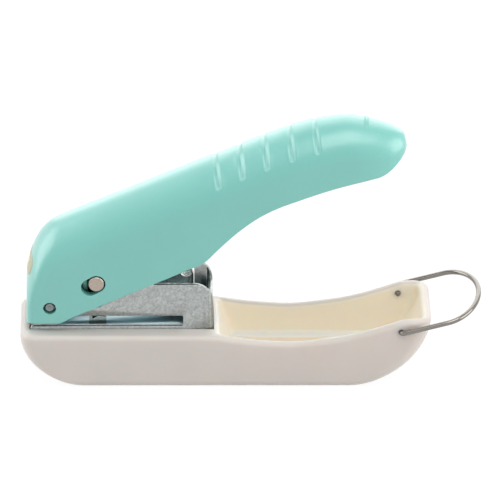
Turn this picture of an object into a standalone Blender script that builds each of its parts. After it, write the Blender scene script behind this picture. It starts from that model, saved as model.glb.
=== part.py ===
# Hand-held star hole punch: a folded sheet-metal frame in a moulded chip tray, a hollow
# lever handle, a star punch driven by a cross pin, a return spring and a wire bail.
# Metres, +Z up. +X runs from the pivot towards the free end of the handle, +Y away from
# the side with the visible pin faces. Origin: centre of the tray's flat underside.

import math

import bmesh
import bpy
import numpy as np
from mathutils import Matrix, Vector

# Gaps that every fit is built with
REST_GAP = 0.0003
RUN_GAP = 0.0003
OVERRUN = 0.0010

# Chip tray
TRAY_LENGTH = 0.1300
TRAY_WIDTH = 0.0300
TRAY_WALL = 0.0030
TRAY_FLOOR = 0.0024
TRAY_BOTTOM_RADIUS = 0.0030
TRAY_CORNER_RADIUS = 0.0052
NOSE_RUN = 0.0205
NOSE_RISE = 0.0170
TAIL_RUN = 0.0270
TAIL_RISE = 0.0250
RIM_FRONT_Z = 0.0183
RIM_WAIST_Z = 0.0158
RIM_TAIL_Z = 0.0238
RIM_OUTER_RADIUS = 0.0018
RIM_INNER_RADIUS = 0.0009
LEDGE_Z = 0.0064
LEDGE_WIDTH = 0.0036
CAVITY_CORNER_RADIUS = 0.0020
PARTITION_TOP = 0.0012
PARTITION_SLOPE_RUN = 0.0045
CHIP_CHANNEL_WIDTH = 0.0104
CHIP_CHANNEL_START = 0.0160
# Share of the tray's length, share of the drop from the front rim to the waist
RIM_DIP_SHARES = ((0.438, 1.0), (0.465, 0.97), (0.500, 0.76), (0.530, 0.50), (0.600, 0.14), (0.655, 0.0))
# Share of the tray's length, share of the rise from the waist to the tail rim
RIM_RISE_SHARES = ((0.700, 0.05), (0.735, 0.125), (0.808, 0.33), (0.885, 0.68), (0.950, 0.97), (1.0, 1.0))

# Folded frame
SHEET = 0.0015
FRAME_WIDTH = 0.0180
FRAME_LENGTH = 0.0576
FRAME_FRONT_WALL = 0.0029
FRAME_REAR_RADIUS = 0.0060
FRAME_BEND_RADIUS = 0.0019
FRAME_CHAMFER_RUN = 0.0071
FRAME_CHAMFER_RISE = 0.0066
JAW_CORNER_RADIUS = 0.0010
PLATE_TOP_RISE = 0.01465
REAR_WALL_DROP = 0.0062
THROAT_HEIGHT = 0.0037
THROAT_REAR_WALL = 0.0094
THROAT_END_RADIUS = 0.0006
NOSE_RADIUS = 0.0034
NOSE_START_DEGREES = 105
HUMP_WALL = 0.0018

# Die plate and guide plate inside the frame
DIE_RISE = 0.0124
PLATE_THICKNESS = 0.0015
DIE_FRONT_SETBACK = 0.0010
GUIDE_FRONT_SETBACK = 0.0048
TAB_LENGTH = 0.0040
TAB_BEHIND_PIVOT = 0.0037
REAR_TAB_WIDTH = 0.0066

# Punch and its cross pin
PUNCH_SETBACK = 0.0208
PUNCH_STROKE = 0.0070
STAR_RADIUS = 0.0030
STAR_INNER_SHARE = 0.45
STAR_POINTS = 5
PUNCH_TIP_RISE = 0.0005
PUNCH_BODY_RADIUS = 0.0050
PUNCH_BODY_DROP = 0.0036
PUNCH_BODY_TOP = 0.0050
PUNCH_CHAMFER = 0.0005
PIN_RISE = 0.0164
CROSS_PIN_RADIUS = 0.0025
CROSS_PIN_PROUD = 0.0004
CROSS_PIN_CHAMFER = 0.0005
SLOT_SIDE_GAP = 0.0004

# Pivot
PIVOT_SETBACK = 0.0061
PIVOT_RISE = 0.0078
PIVOT_PIN_RADIUS = 0.00145
PIVOT_PIN_CHAMFER = 0.0003
PIVOT_PIN_RECESS = 0.0006
PIVOT_HOLE_GAP = 0.0006

# Lever handle
HANDLE_WALL = 0.0025
HANDLE_SIDE_GAP = 0.0005
HANDLE_NOSE = 0.0073
HANDLE_SILL = 0.0056
HANDLE_LENGTH = 0.1195
HANDLE_RISE = 0.0667
HANDLE_CORNER_RADIUS = 0.0055
HANDLE_INNER_CORNER_RADIUS = 0.0020
HANDLE_TIP_WALL = 0.0040
HANDLE_ARCH_SHARE = 0.72
STEEPEST_SLOPE = 3
# Share of the handle's length that its curved front takes up
FRONT_CURVE_SHARE = 0.09
# Share of the handle's length, share of its rise, along the crest from front to tip
CREST_SHARES = (
    (0.0, 0.165), (0.0012, 0.198), (0.0058, 0.240), (0.0192, 0.324), (0.0377, 0.391), (0.069, 0.450),
    (0.109, 0.486), (0.200, 0.559), (0.292, 0.631), (0.383, 0.704), (0.474, 0.776), (0.531, 0.816),
    (0.591, 0.867), (0.658, 0.917), (0.725, 0.962), (0.792, 0.990), (0.848, 1.0), (0.900, 0.984),
    (0.938, 0.967), (0.975, 0.938), (0.990, 0.920), (0.9975, 0.890), (1.0, 0.868),
)
# Share of the handle's length, share of its rise, along the lower edge
SILL_SHARES = (
    (0.0, 0.0), (0.080, 0.0), (0.095, 0.007), (0.113, 0.026), (0.143, 0.056), (0.190, 0.096), (0.268, 0.158),
    (0.343, 0.215), (0.421, 0.281), (0.472, 0.327), (0.500, 0.380), (0.529, 0.434), (0.565, 0.494),
    (0.602, 0.546), (0.640, 0.588), (0.675, 0.618), (0.716, 0.645), (0.748, 0.668), (0.785, 0.688),
    (0.822, 0.708), (0.860, 0.724), (0.906, 0.740), (0.937, 0.752), (0.961, 0.778), (0.986, 0.822),
    (0.996, 0.844), (1.0, 0.857),
)
# Share of the handle's length, share of its half width, where the grip narrows to the tip
WIDTH_SHARES = (
    (0.0, 1.0), (0.650, 1.0), (0.736, 0.975), (0.820, 0.920), (0.887, 0.840), (0.937, 0.720),
    (0.971, 0.560), (0.990, 0.380), (0.9975, 0.220), (1.0, 0.100),
)
# Share of the handle's length where each grip groove crosses the crest
GROOVE_SHARES = (0.497, 0.560, 0.625, 0.691, 0.757)
GROOVE_HALF_WIDTH = 0.0010
GROOVE_DEPTH = 0.0006
GROOVE_END_ANGLE = math.radians(62)
GROOVE_FADE_ANGLE = math.radians(52)
GROOVE_LEAN_SHARE = 0.25
CATCH_SHARE = 0.894
CATCH_HALF_LENGTH = 0.0008
CATCH_HALF_WIDTH = 0.0042
CATCH_HEIGHT = 0.0007
CATCH_TOP_SHARE = 0.55
RIB_THICKNESS = 0.0015
RIB_SHARES = (0.480, 0.640, 0.800)
RIB_CUT_BACK = 0.0045
RIB_EDGE_RISE = 0.0010

# Return spring
SPRING_WIRE = 0.0010
SPRING_COIL_RADIUS = 0.00215
SPRING_PITCH = 0.0016
SPRING_TURNS = 4
SPRING_STEPS = 10
SPRING_AHEAD_OF_REAR = 0.0085
SPRING_RISE = 0.0164
SPRING_TAIL = 0.0009
SPRING_LEG_RUN = 0.0133
SPRING_LEG_RISE = 0.0140

# Wire bail
BAIL_WIRE = 0.0015
BAIL_FROM_TAIL = 0.0100
BAIL_Z = 0.0200
BAIL_STRAIGHT = 0.0150
BAIL_REACH = 0.0259
BAIL_NEAR_GAP = 0.0004
BAIL_FAR_GAP = 0.0036
BAIL_BEND_RADIUS = 0.0013
BAIL_END_PROUD = 0.0004
BAIL_HOLE_GAP = 0.0003
BAIL_REST_ANGLE = math.radians(15.2)

# How finely curved surfaces are cut into flat faces
PIN_SEGMENTS = 32
BODY_SEGMENTS = 40
ARC_STEPS = 6
CORNER_STEPS = 4
SHARP_ANGLE = math.radians(35)
TINY_SHARE = 1e-8

# Places worked out from the sizes above
FRAME_FRONT_X = -TRAY_LENGTH / 2 + FRAME_FRONT_WALL + REST_GAP
FRAME_REAR_X = FRAME_FRONT_X + FRAME_LENGTH
FRAME_BOTTOM_Z = LEDGE_Z + REST_GAP
DIE_TOP_Z = FRAME_BOTTOM_Z + DIE_RISE
THROAT_TOP_Z = DIE_TOP_Z + THROAT_HEIGHT
PLATE_TOP_Z = DIE_TOP_Z + PLATE_TOP_RISE
PIVOT_X = FRAME_FRONT_X + PIVOT_SETBACK
PIVOT_Z = DIE_TOP_Z + PIVOT_RISE
PUNCH_X = FRAME_FRONT_X + PUNCH_SETBACK
PIN_Z = DIE_TOP_Z + PIN_RISE
THROAT_END_X = FRAME_REAR_X - THROAT_REAR_WALL
HANDLE_FRONT_X = PIVOT_X - HANDLE_NOSE
HANDLE_SILL_Z = PIVOT_Z - HANDLE_SILL
HANDLE_HALF_WIDTH = FRAME_WIDTH / 2 + HANDLE_SIDE_GAP + HANDLE_WALL
INNER_HALF_WIDTH = FRAME_WIDTH / 2 - SHEET
SPRING_X = FRAME_REAR_X - SPRING_AHEAD_OF_REAR
SPRING_Z = DIE_TOP_Z + SPRING_RISE
SPRING_RIB_X = SPRING_X - SPRING_LEG_RUN
BAIL_X = TRAY_LENGTH / 2 - BAIL_FROM_TAIL


def clear_scene():
    """Removes every object that the file opens with."""
    for item in list(bpy.data.objects):
        bpy.data.objects.remove(item, do_unlink=True)


def linear(colour_hex):
    """Turns an sRGB colour written as six hex digits into linear red, green and blue."""
    parts = [int(colour_hex[i:i + 2], 16) / 255 for i in (0, 2, 4)]
    return [p / 12.92 if p <= 0.04045 else ((p + 0.055) / 1.055) ** 2.4 for p in parts]


def make_material(name, colour_hex, roughness, metallic):
    """Makes a plain surface of one colour."""
    made = bpy.data.materials.new(name)
    made.use_nodes = True
    shader = made.node_tree.nodes["Principled BSDF"]
    shader.inputs["Base Color"].default_value = (*linear(colour_hex), 1.0)
    shader.inputs["Roughness"].default_value = roughness
    shader.inputs["Metallic"].default_value = metallic
    return made


def link_object(name, data):
    """Puts a mesh or curve in the scene under a name."""
    item = bpy.data.objects.new(name, data)
    bpy.context.scene.collection.objects.link(item)
    return item


def mesh_object(name, bm):
    """Turns a bmesh into an object with outward faces, smooth but for its sharp edges."""
    bmesh.ops.recalc_face_normals(bm, faces=bm.faces)
    mesh = bpy.data.meshes.new(name)
    bm.to_mesh(mesh)
    bm.free()
    mesh.shade_smooth()
    mesh.set_sharp_from_angle(angle=SHARP_ANGLE)
    return link_object(name, mesh)


def move_origin(item, x, y, z):
    """Puts an object's origin at a point and leaves its shape where it is."""
    item.data.transform(Matrix.Translation((-x, -y, -z)))
    item.location = (x, y, z)


def combine(item, tool, operation="DIFFERENCE"):
    """Cuts, joins or clips an object with a tool solid, which is hidden."""
    tool.hide_render = True
    tool.display_type = "WIRE"
    change = item.modifiers.new(tool.name, "BOOLEAN")
    change.operation = operation
    change.solver = "EXACT"
    change.object = tool


def arc(centre_u, centre_v, radius, start, end, steps=ARC_STEPS):
    """Points on a circle from one angle in degrees to another."""
    turns = np.radians(np.linspace(start, end, steps + 1))
    return [(centre_u + radius * math.cos(t), centre_v + radius * math.sin(t)) for t in turns]


def prism(name, outline, axis, low, high):
    """Extrudes a closed outline from low to high along X, Y or Z."""
    order = {"X": (2, 0, 1), "Y": (0, 2, 1), "Z": (0, 1, 2)}[axis]
    bm = bmesh.new()
    ends = []
    for depth in (low, high):
        ends.append([bm.verts.new([(u, v, depth)[i] for i in order]) for u, v in outline])
    bm.faces.new(ends[0])
    bm.faces.new(reversed(ends[1]))
    for i in range(len(outline)):
        k = (i + 1) % len(outline)
        bm.faces.new((ends[0][i], ends[1][i], ends[1][k], ends[0][k]))
    return mesh_object(name, bm)


def box(name, low, high):
    """A box between two corners."""
    outline = [(low[0], low[1]), (high[0], low[1]), (high[0], high[1]), (low[0], high[1])]
    return prism(name, outline, "Z", low[2], high[2])


def turned(name, profile, axis, centre, segments=PIN_SEGMENTS):
    """Revolves a profile of (radius, height) points about an axis through a centre."""
    bm = bmesh.new()
    turns = [2 * math.pi * i / segments for i in range(segments)]
    rings = [[bm.verts.new((r * math.cos(t), r * math.sin(t), h)) for t in turns] for r, h in profile]
    bm.faces.new(rings[0])
    bm.faces.new(reversed(rings[-1]))
    for low, high in zip(rings, rings[1:]):
        for i in range(segments):
            k = (i + 1) % segments
            bm.faces.new((low[i], low[k], high[k], high[i]))
    if axis == "Y":
        bmesh.ops.rotate(bm, verts=bm.verts, cent=(0, 0, 0), matrix=Matrix.Rotation(-math.pi / 2, 3, "X"))
    bmesh.ops.translate(bm, verts=bm.verts, vec=Vector(centre))
    return mesh_object(name, bm)


def mirrored_loft(name, halves):
    """Skins a row of closed loops, each given as its near half from centre line to centre line.

    The far half is the near half with Y turned round. Both end loops are closed by
    strips that run from the near side to the far side.
    """
    bm = bmesh.new()
    loops = []
    for half in halves:
        near = [bm.verts.new(p) for p in half]
        far = [bm.verts.new((p[0], -p[1], p[2])) for p in half[1:-1]]
        loops.append((near, [near[0]] + far + [near[-1]]))
    for (near_a, far_a), (near_b, far_b) in zip(loops, loops[1:]):
        for side_a, side_b in ((near_a, near_b), (far_b, far_a)):
            for i in range(len(side_a) - 1):
                bm.faces.new((side_a[i], side_a[i + 1], side_b[i + 1], side_b[i]))
    for near, far in (loops[0], loops[-1]):
        bm.faces.new((far[1], near[0], near[1], near[2], far[2]))
        for i in range(2, len(near) - 3):
            bm.faces.new((near[i], near[i + 1], far[i + 1], far[i]))
        bm.faces.new((near[-3], near[-2], near[-1], far[-2], far[-3]))
    return mesh_object(name, bm)


def smooth_value(points, at):
    """Reads a smooth curve through points (place, value) at one or more places."""
    places, values = np.array(points, dtype=float).T
    slopes = np.gradient(values, places)
    flat = np.isclose(np.diff(values), 0)
    slopes[:-1][flat] = 0
    slopes[1:][flat] = 0
    i = np.clip(np.searchsorted(places, at, side="right") - 1, 0, len(places) - 2)
    span = places[i + 1] - places[i]
    t = np.clip((at - places[i]) / span, 0, 1)
    a, b, c, d = 2 * t**3 - 3 * t**2 + 1, t**3 - 2 * t**2 + t, 3 * t**2 - 2 * t**3, t**3 - t**2
    return a * values[i] + b * span * slopes[i] + c * values[i + 1] + d * span * slopes[i + 1]


def rim_height(x):
    """Height of the tray's rim at a place along its length."""
    share = (x + TRAY_LENGTH / 2) / TRAY_LENGTH
    drop = RIM_FRONT_Z - RIM_WAIST_Z
    rise = RIM_TAIL_Z - RIM_WAIST_Z
    points = [(0.0, RIM_FRONT_Z)]
    points += [(place, RIM_WAIST_Z + part * drop) for place, part in RIM_DIP_SHARES]
    points += [(place, RIM_WAIST_Z + part * rise) for place, part in RIM_RISE_SHARES]
    return smooth_value(points, share)


def rounded(depth, radius):
    """How far a quarter round of a radius draws in at a depth below its start."""
    share = np.clip(depth / radius, 0, 1)
    return 1 - np.sqrt(1 - share**2)


def tray_end_places(front_z, tail_z, wall):
    """Where the curved nose and tail stand at two heights, inside a wall of a thickness."""
    front = -TRAY_LENGTH / 2 + wall + (NOSE_RUN - wall) * rounded(NOSE_RISE - front_z, NOSE_RISE - wall)
    tail = TRAY_LENGTH / 2 - wall - (TAIL_RUN - wall) * rounded(TAIL_RISE - tail_z, TAIL_RISE - wall)
    return front, tail


def plan_half(front_x, tail_x, half_width, radius, stations):
    """Near half of a rectangle with round corners, from the front's middle to the tail's."""
    radius = max(min(radius, half_width), REST_GAP)
    low_y = -half_width + radius
    front = arc(front_x + radius, low_y, radius, 180, 270, CORNER_STEPS)
    tail = arc(tail_x - radius, low_y, radius, 270, 360, CORNER_STEPS)
    shares = np.linspace(0, 1, stations + 2)[1:-1]
    side = [(front[-1][0] + s * (tail[0][0] - front[-1][0]), -half_width) for s in shares]
    return [(front_x, 0)] + front + side + tail + [(tail_x, 0)]


def tray_outer(stations=30, side_steps=4, mid_share=0.55):
    """The tray's outer form as a solid block, from its flat underside to its rounded rim."""
    half_width = TRAY_WIDTH / 2
    mid_z = RIM_FRONT_Z * mid_share
    halves = []
    for turn in np.linspace(0, math.pi / 2, ARC_STEPS + 1):
        z = TRAY_BOTTOM_RADIUS * (1 - math.cos(turn))
        inset = TRAY_BOTTOM_RADIUS * (1 - math.sin(turn))
        front, tail = tray_end_places(z, z, 0)
        plan = plan_half(front, tail, half_width - inset, TRAY_CORNER_RADIUS - inset, stations)
        halves.append([(x, y, z) for x, y in plan])
    for z in np.linspace(TRAY_BOTTOM_RADIUS, mid_z, side_steps)[1:]:
        front, tail = tray_end_places(z, z, 0)
        plan = plan_half(front, tail, half_width, TRAY_CORNER_RADIUS, stations)
        halves.append([(x, y, z) for x, y in plan])
    for share in np.linspace(0, 1, side_steps + 1)[1:]:
        ends = [mid_z + share * (rim - RIM_OUTER_RADIUS - mid_z) for rim in (RIM_FRONT_Z, RIM_TAIL_Z)]
        front, tail = tray_end_places(ends[0], ends[1], 0)
        plan = plan_half(front, tail, half_width, TRAY_CORNER_RADIUS, stations)
        rise = [rim_height(x) - RIM_OUTER_RADIUS - mid_z for x, y in plan]
        halves.append([(x, y, mid_z + share * up) for (x, y), up in zip(plan, rise)])
    for turn in np.linspace(0, math.pi / 2, CORNER_STEPS + 1)[1:]:
        inset = RIM_OUTER_RADIUS * (1 - math.cos(turn))
        drop = RIM_OUTER_RADIUS * (1 - math.sin(turn))
        front, tail = tray_end_places(RIM_FRONT_Z - drop, RIM_TAIL_Z - drop, 0)
        radius = TRAY_CORNER_RADIUS - inset
        plan = plan_half(front + inset, tail - inset, half_width - inset, radius, stations)
        halves.append([(x, y, rim_height(x) - drop) for x, y in plan])
    return mirrored_loft("tray", halves)


def cavity_tool(stations=20, side_steps=5):
    """The open chip space: a sloped front, a curved tail and a rounded rim edge."""
    half_width = TRAY_WIDTH / 2 - TRAY_WALL
    foot_x = FRAME_REAR_X + REST_GAP + PARTITION_TOP + PARTITION_SLOPE_RUN
    slope = PARTITION_SLOPE_RUN / (RIM_FRONT_Z - LEDGE_Z)
    halves = []
    for share in np.linspace(0, 1, side_steps + 1):
        tail_z = LEDGE_Z + share * (RIM_TAIL_Z - RIM_INNER_RADIUS - LEDGE_Z)
        front_z = LEDGE_Z + share * (RIM_FRONT_Z - RIM_INNER_RADIUS - LEDGE_Z)
        tail = tray_end_places(front_z, tail_z, TRAY_WALL)[1]
        front = foot_x - slope * (front_z - LEDGE_Z)
        plan = plan_half(front, tail, half_width, CAVITY_CORNER_RADIUS, stations)
        rise = [rim_height(x) - RIM_INNER_RADIUS - LEDGE_Z for x, y in plan]
        halves.append([(x, y, LEDGE_Z + share * up) for (x, y), up in zip(plan, rise)])
    front = foot_x - slope * (RIM_FRONT_Z - LEDGE_Z)
    tail = TRAY_LENGTH / 2 - TRAY_WALL
    for turn in np.linspace(0, math.pi / 2, CORNER_STEPS + 1)[1:]:
        spread = RIM_INNER_RADIUS * (1 - math.cos(turn))
        drop = RIM_INNER_RADIUS * (1 - math.sin(turn))
        radius = CAVITY_CORNER_RADIUS + spread
        plan = plan_half(front, tail + spread, half_width + spread, radius, stations)
        halves.append([(x, y, rim_height(x) - drop) for x, y in plan])
    halves.append([(x, y, z + OVERRUN) for x, y, z in halves[-1]])
    return mirrored_loft("tray_cavity_tool", halves)


def tail_channel_tool(stations=8, side_steps=4):
    """The lower part of the chip space, between the two long ledges."""
    half_width = TRAY_WIDTH / 2 - TRAY_WALL - LEDGE_WIDTH
    front = FRAME_REAR_X + REST_GAP + PARTITION_TOP + PARTITION_SLOPE_RUN
    halves = []
    for share in np.linspace(0, 1, side_steps + 1):
        z = TRAY_FLOOR + share * (LEDGE_Z + OVERRUN - TRAY_FLOOR)
        tail = tray_end_places(z, z, TRAY_FLOOR)[1]
        plan = plan_half(front, tail, half_width, CAVITY_CORNER_RADIUS, stations)
        halves.append([(x, y, z) for x, y in plan])
    return mirrored_loft("tray_tail_channel_tool", halves)


def frame_corner(front_x, bottom_z, top_z, rear_x):
    """Side outline of a block whose lower front corner is cut off along the frame's chamfer."""
    chamfer_slope = FRAME_CHAMFER_RISE / FRAME_CHAMFER_RUN
    foot_x = FRAME_FRONT_X + FRAME_CHAMFER_RUN
    corner_z = FRAME_BOTTOM_Z + (foot_x - front_x) * chamfer_slope
    return [(foot_x, bottom_z), (rear_x, bottom_z), (rear_x, top_z), (front_x, top_z), (front_x, corner_z)]


def build_tray(finish):
    """White moulded tray: holds the frame in its front half and the chips in its rear half."""
    tray = tray_outer()
    front_x = FRAME_FRONT_X - REST_GAP
    rear_x = FRAME_REAR_X + REST_GAP
    pocket_half = FRAME_WIDTH / 2 + REST_GAP
    outline = frame_corner(front_x, LEDGE_Z, RIM_TAIL_Z, rear_x)
    combine(tray, prism("tray_pocket_tool", outline, "Y", -pocket_half, pocket_half))
    combine(tray, cavity_tool())
    combine(tray, tail_channel_tool())
    channel_start = -TRAY_LENGTH / 2 + CHIP_CHANNEL_START
    channel_half = CHIP_CHANNEL_WIDTH / 2
    low = (channel_start, -channel_half, TRAY_FLOOR)
    high = (rear_x + PARTITION_TOP + PARTITION_SLOPE_RUN + OVERRUN, channel_half, LEDGE_Z + REST_GAP)
    combine(tray, box("tray_front_channel_tool", low, high))
    hole_radius = BAIL_WIRE / 2 + BAIL_HOLE_GAP
    reach = TRAY_WIDTH / 2 + OVERRUN
    profile = [(hole_radius, -reach), (hole_radius, reach)]
    combine(tray, turned("tray_bail_hole_tool", profile, "Y", (BAIL_X, 0, BAIL_Z)))
    tray.data.materials.append(finish)
    return tray


def frame_outline():
    """Side outline of the frame's plates, with the paper throat open to the front."""
    chamfer_x = FRAME_FRONT_X + FRAME_CHAMFER_RUN
    chamfer_z = FRAME_BOTTOM_Z + FRAME_CHAMFER_RISE
    hump_half = CROSS_PIN_RADIUS + RUN_GAP + HUMP_WALL
    end_radius = THROAT_END_RADIUS
    jaw = JAW_CORNER_RADIUS
    points = [(chamfer_x, FRAME_BOTTOM_Z), (FRAME_REAR_X, FRAME_BOTTOM_Z)]
    rear = FRAME_REAR_RADIUS
    points += arc(FRAME_REAR_X - rear, PLATE_TOP_Z - rear, rear, 0, 90)
    points += [(PUNCH_X + hump_half, PLATE_TOP_Z)]
    points += arc(PUNCH_X, PIN_Z, hump_half, 0, 180, 2 * ARC_STEPS)
    points += [(PUNCH_X - hump_half, PLATE_TOP_Z)]
    points += arc(PIVOT_X, PIVOT_Z, NOSE_RADIUS, NOSE_START_DEGREES, 180)
    points += [(PIVOT_X - NOSE_RADIUS, THROAT_TOP_Z)]
    points += arc(THROAT_END_X - end_radius, THROAT_TOP_Z - end_radius, end_radius, 90, 0, CORNER_STEPS)
    points += arc(THROAT_END_X - end_radius, DIE_TOP_Z + end_radius, end_radius, 0, -90, CORNER_STEPS)
    points += arc(FRAME_FRONT_X + jaw, DIE_TOP_Z - jaw, jaw, 90, 180, CORNER_STEPS)
    points += [(FRAME_FRONT_X, chamfer_z)]
    return points


def frame_plan():
    """Plan of the folded strip: two side plates and a rear wall with round bends."""
    outer, inner = FRAME_BEND_RADIUS, FRAME_BEND_RADIUS - SHEET
    half, front = FRAME_WIDTH / 2, FRAME_FRONT_X - OVERRUN
    points = [(front, -half)]
    points += arc(FRAME_REAR_X - outer, -half + outer, outer, -90, 0, CORNER_STEPS)
    points += arc(FRAME_REAR_X - outer, half - outer, outer, 0, 90, CORNER_STEPS)
    points += [(front, half), (front, half - SHEET)]
    points += arc(FRAME_REAR_X - outer, half - outer, inner, 90, 0, CORNER_STEPS)
    points += arc(FRAME_REAR_X - outer, -half + outer, inner, 0, -90, CORNER_STEPS)
    points += [(front, -half + SHEET)]
    return points


def upright_slot(name, x, low_z, high_z, radius, half_length):
    """Tool for a slot that stands upright and runs through along Y."""
    outline = arc(x, high_z, radius, 0, 180, 2 * ARC_STEPS)
    outline += arc(x, low_z, radius, 180, 360, 2 * ARC_STEPS)
    return prism(name, outline, "Y", -half_length, half_length)


def build_frame(finish):
    """Zinc-plated frame folded from one strip, with slots for the pins and the guide plate."""
    high_z = PIN_Z + CROSS_PIN_RADIUS + RUN_GAP + HUMP_WALL + OVERRUN
    frame = prism("frame", frame_plan(), "Z", FRAME_BOTTOM_Z - OVERRUN, high_z)
    reach = FRAME_WIDTH / 2 + OVERRUN
    combine(frame, prism("frame_outline_tool", frame_outline(), "Y", -reach, reach), "INTERSECT")
    wall_half = FRAME_WIDTH / 2 - FRAME_BEND_RADIUS
    low = (FRAME_REAR_X - SHEET - OVERRUN, -wall_half, PLATE_TOP_Z - REAR_WALL_DROP)
    combine(frame, box("frame_rear_top_tool", low, (FRAME_REAR_X + OVERRUN, wall_half, high_z)))
    slot_radius = CROSS_PIN_RADIUS + RUN_GAP
    slot_low_z = PIN_Z - PUNCH_STROKE
    combine(frame, upright_slot("frame_pin_slot_tool", PUNCH_X, slot_low_z, PIN_Z, slot_radius, reach))
    hole_radius = PIVOT_PIN_RADIUS + RUN_GAP
    profile = [(hole_radius, -reach), (hole_radius, reach)]
    combine(frame, turned("frame_pivot_hole_tool", profile, "Y", (PIVOT_X, 0, PIVOT_Z)))
    tab_x = PIVOT_X + TAB_BEHIND_PIVOT
    top_z = THROAT_TOP_Z + PLATE_THICKNESS + REST_GAP
    low = (tab_x - REST_GAP, -reach, THROAT_TOP_Z - OVERRUN)
    combine(frame, box("frame_tab_notch_tool", low, (tab_x + TAB_LENGTH + REST_GAP, reach, top_z)))
    tab_half = REAR_TAB_WIDTH / 2 + REST_GAP
    low = (FRAME_REAR_X - SHEET - OVERRUN, -tab_half, THROAT_TOP_Z - REST_GAP)
    combine(frame, box("frame_tab_window_tool", low, (FRAME_REAR_X + OVERRUN, tab_half, top_z)))
    frame.data.materials.append(finish)
    return frame


def star_outline(gap):
    """Five-pointed star about the punch's axis, one point to the front, grown by a gap."""
    outer, inner = STAR_RADIUS, STAR_RADIUS * STAR_INNER_SHARE
    step = math.pi / STAR_POINTS
    edge = math.sqrt(outer**2 + inner**2 - 2 * outer * inner * math.cos(step))
    edge_distance = outer * inner * math.sin(step) / edge
    grow = (edge_distance + gap) / edge_distance
    points = []
    for i in range(2 * STAR_POINTS):
        radius = (inner if i % 2 else outer) * grow
        turn = math.pi + i * step
        points.append((PUNCH_X + radius * math.cos(turn), radius * math.sin(turn)))
    return points


def build_die_plate(finish):
    """Die: a plate with the star hole and two flanges that stand on the tray's ledges."""
    half = INNER_HALF_WIDTH - REST_GAP
    front_x = FRAME_FRONT_X + DIE_FRONT_SETBACK
    rear_x = FRAME_REAR_X - SHEET - REST_GAP
    outline = frame_corner(front_x, FRAME_BOTTOM_Z, DIE_TOP_Z, rear_x)
    plate = prism("die_plate", outline, "Y", -half, half)
    low = (front_x - OVERRUN, -half + PLATE_THICKNESS, FRAME_BOTTOM_Z - OVERRUN)
    high = (rear_x + OVERRUN, half - PLATE_THICKNESS, DIE_TOP_Z - PLATE_THICKNESS)
    combine(plate, box("die_hollow_tool", low, high))
    low_z = DIE_TOP_Z - PLATE_THICKNESS - OVERRUN
    combine(plate, prism("die_star_tool", star_outline(RUN_GAP), "Z", low_z, DIE_TOP_Z + OVERRUN))
    plate.data.materials.append(finish)
    return plate


def build_guide_plate(finish):
    """Guide above the throat: hooked into both side plates and the rear wall by its tabs."""
    half = INNER_HALF_WIDTH - REST_GAP
    front_x = FRAME_FRONT_X + GUIDE_FRONT_SETBACK
    rear_x = FRAME_REAR_X - SHEET - REST_GAP
    tab_x = PIVOT_X + TAB_BEHIND_PIVOT
    outline = [(front_x, -half), (tab_x, -half), (tab_x, -FRAME_WIDTH / 2)]
    outline += [(tab_x + TAB_LENGTH, -FRAME_WIDTH / 2), (tab_x + TAB_LENGTH, -half), (rear_x, -half)]
    outline += [(rear_x, -REAR_TAB_WIDTH / 2), (FRAME_REAR_X, -REAR_TAB_WIDTH / 2)]
    outline += [(x, -y) for x, y in reversed(outline)]
    top_z = THROAT_TOP_Z + PLATE_THICKNESS
    plate = prism("guide_plate", outline, "Z", THROAT_TOP_Z, top_z)
    low_z = THROAT_TOP_Z - OVERRUN
    combine(plate, prism("guide_star_tool", star_outline(RUN_GAP), "Z", low_z, top_z + OVERRUN))
    hole_radius = SPRING_WIRE / 2 + RUN_GAP
    centre = (SPRING_X + SPRING_COIL_RADIUS, spring_near_y(), 0)
    profile = [(hole_radius, low_z), (hole_radius, top_z + OVERRUN)]
    combine(plate, turned("guide_spring_hole_tool", profile, "Z", centre, PIN_SEGMENTS // 2))
    plate.data.materials.append(finish)
    return plate


def build_star_punch(finish):
    """Star punch: a star shank under a round body that is drilled for the cross pin."""
    tip_z = THROAT_TOP_Z + PUNCH_TIP_RISE
    body_z = PIN_Z - PUNCH_BODY_DROP
    top_z = PIN_Z + PUNCH_BODY_TOP
    radius, chamfer = PUNCH_BODY_RADIUS, PUNCH_CHAMFER
    profile = [(radius - chamfer, body_z), (radius, body_z + chamfer)]
    profile += [(radius, top_z - chamfer), (radius - chamfer, top_z)]
    punch = turned("star_punch", profile, "Z", (PUNCH_X, 0, 0), BODY_SEGMENTS)
    combine(punch, prism("punch_shank_tool", star_outline(0), "Z", tip_z, body_z + chamfer), "UNION")
    hole_radius = CROSS_PIN_RADIUS + RUN_GAP
    reach = radius + OVERRUN
    profile = [(hole_radius, -reach), (hole_radius, reach)]
    combine(punch, turned("punch_cross_hole_tool", profile, "Y", (PUNCH_X, 0, PIN_Z)))
    punch.data.materials.append(finish)
    return punch


def pin_profile(radius, half_length, chamfer):
    """Profile of a plain pin with chamfered ends."""
    profile = [(radius - chamfer, -half_length), (radius, -half_length + chamfer)]
    return profile + [(radius, half_length - chamfer), (radius - chamfer, half_length)]


def build_cross_pin(finish):
    """Drive pin through handle, frame and punch; its faces stand just proud of the handle."""
    profile = pin_profile(CROSS_PIN_RADIUS, HANDLE_HALF_WIDTH + CROSS_PIN_PROUD, CROSS_PIN_CHAMFER)
    pin = turned("cross_pin", profile, "Y", (PUNCH_X, 0, PIN_Z))
    pin.data.materials.append(finish)
    return pin


def build_pivot_pin(finish):
    """Pin that the handle turns on; its ends lie just inside the handle's side faces."""
    profile = pin_profile(PIVOT_PIN_RADIUS, HANDLE_HALF_WIDTH - PIVOT_PIN_RECESS, PIVOT_PIN_CHAMFER)
    pin = turned("pivot_pin", profile, "Y", (PIVOT_X, 0, PIVOT_Z))
    pin.data.materials.append(finish)
    return pin


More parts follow.
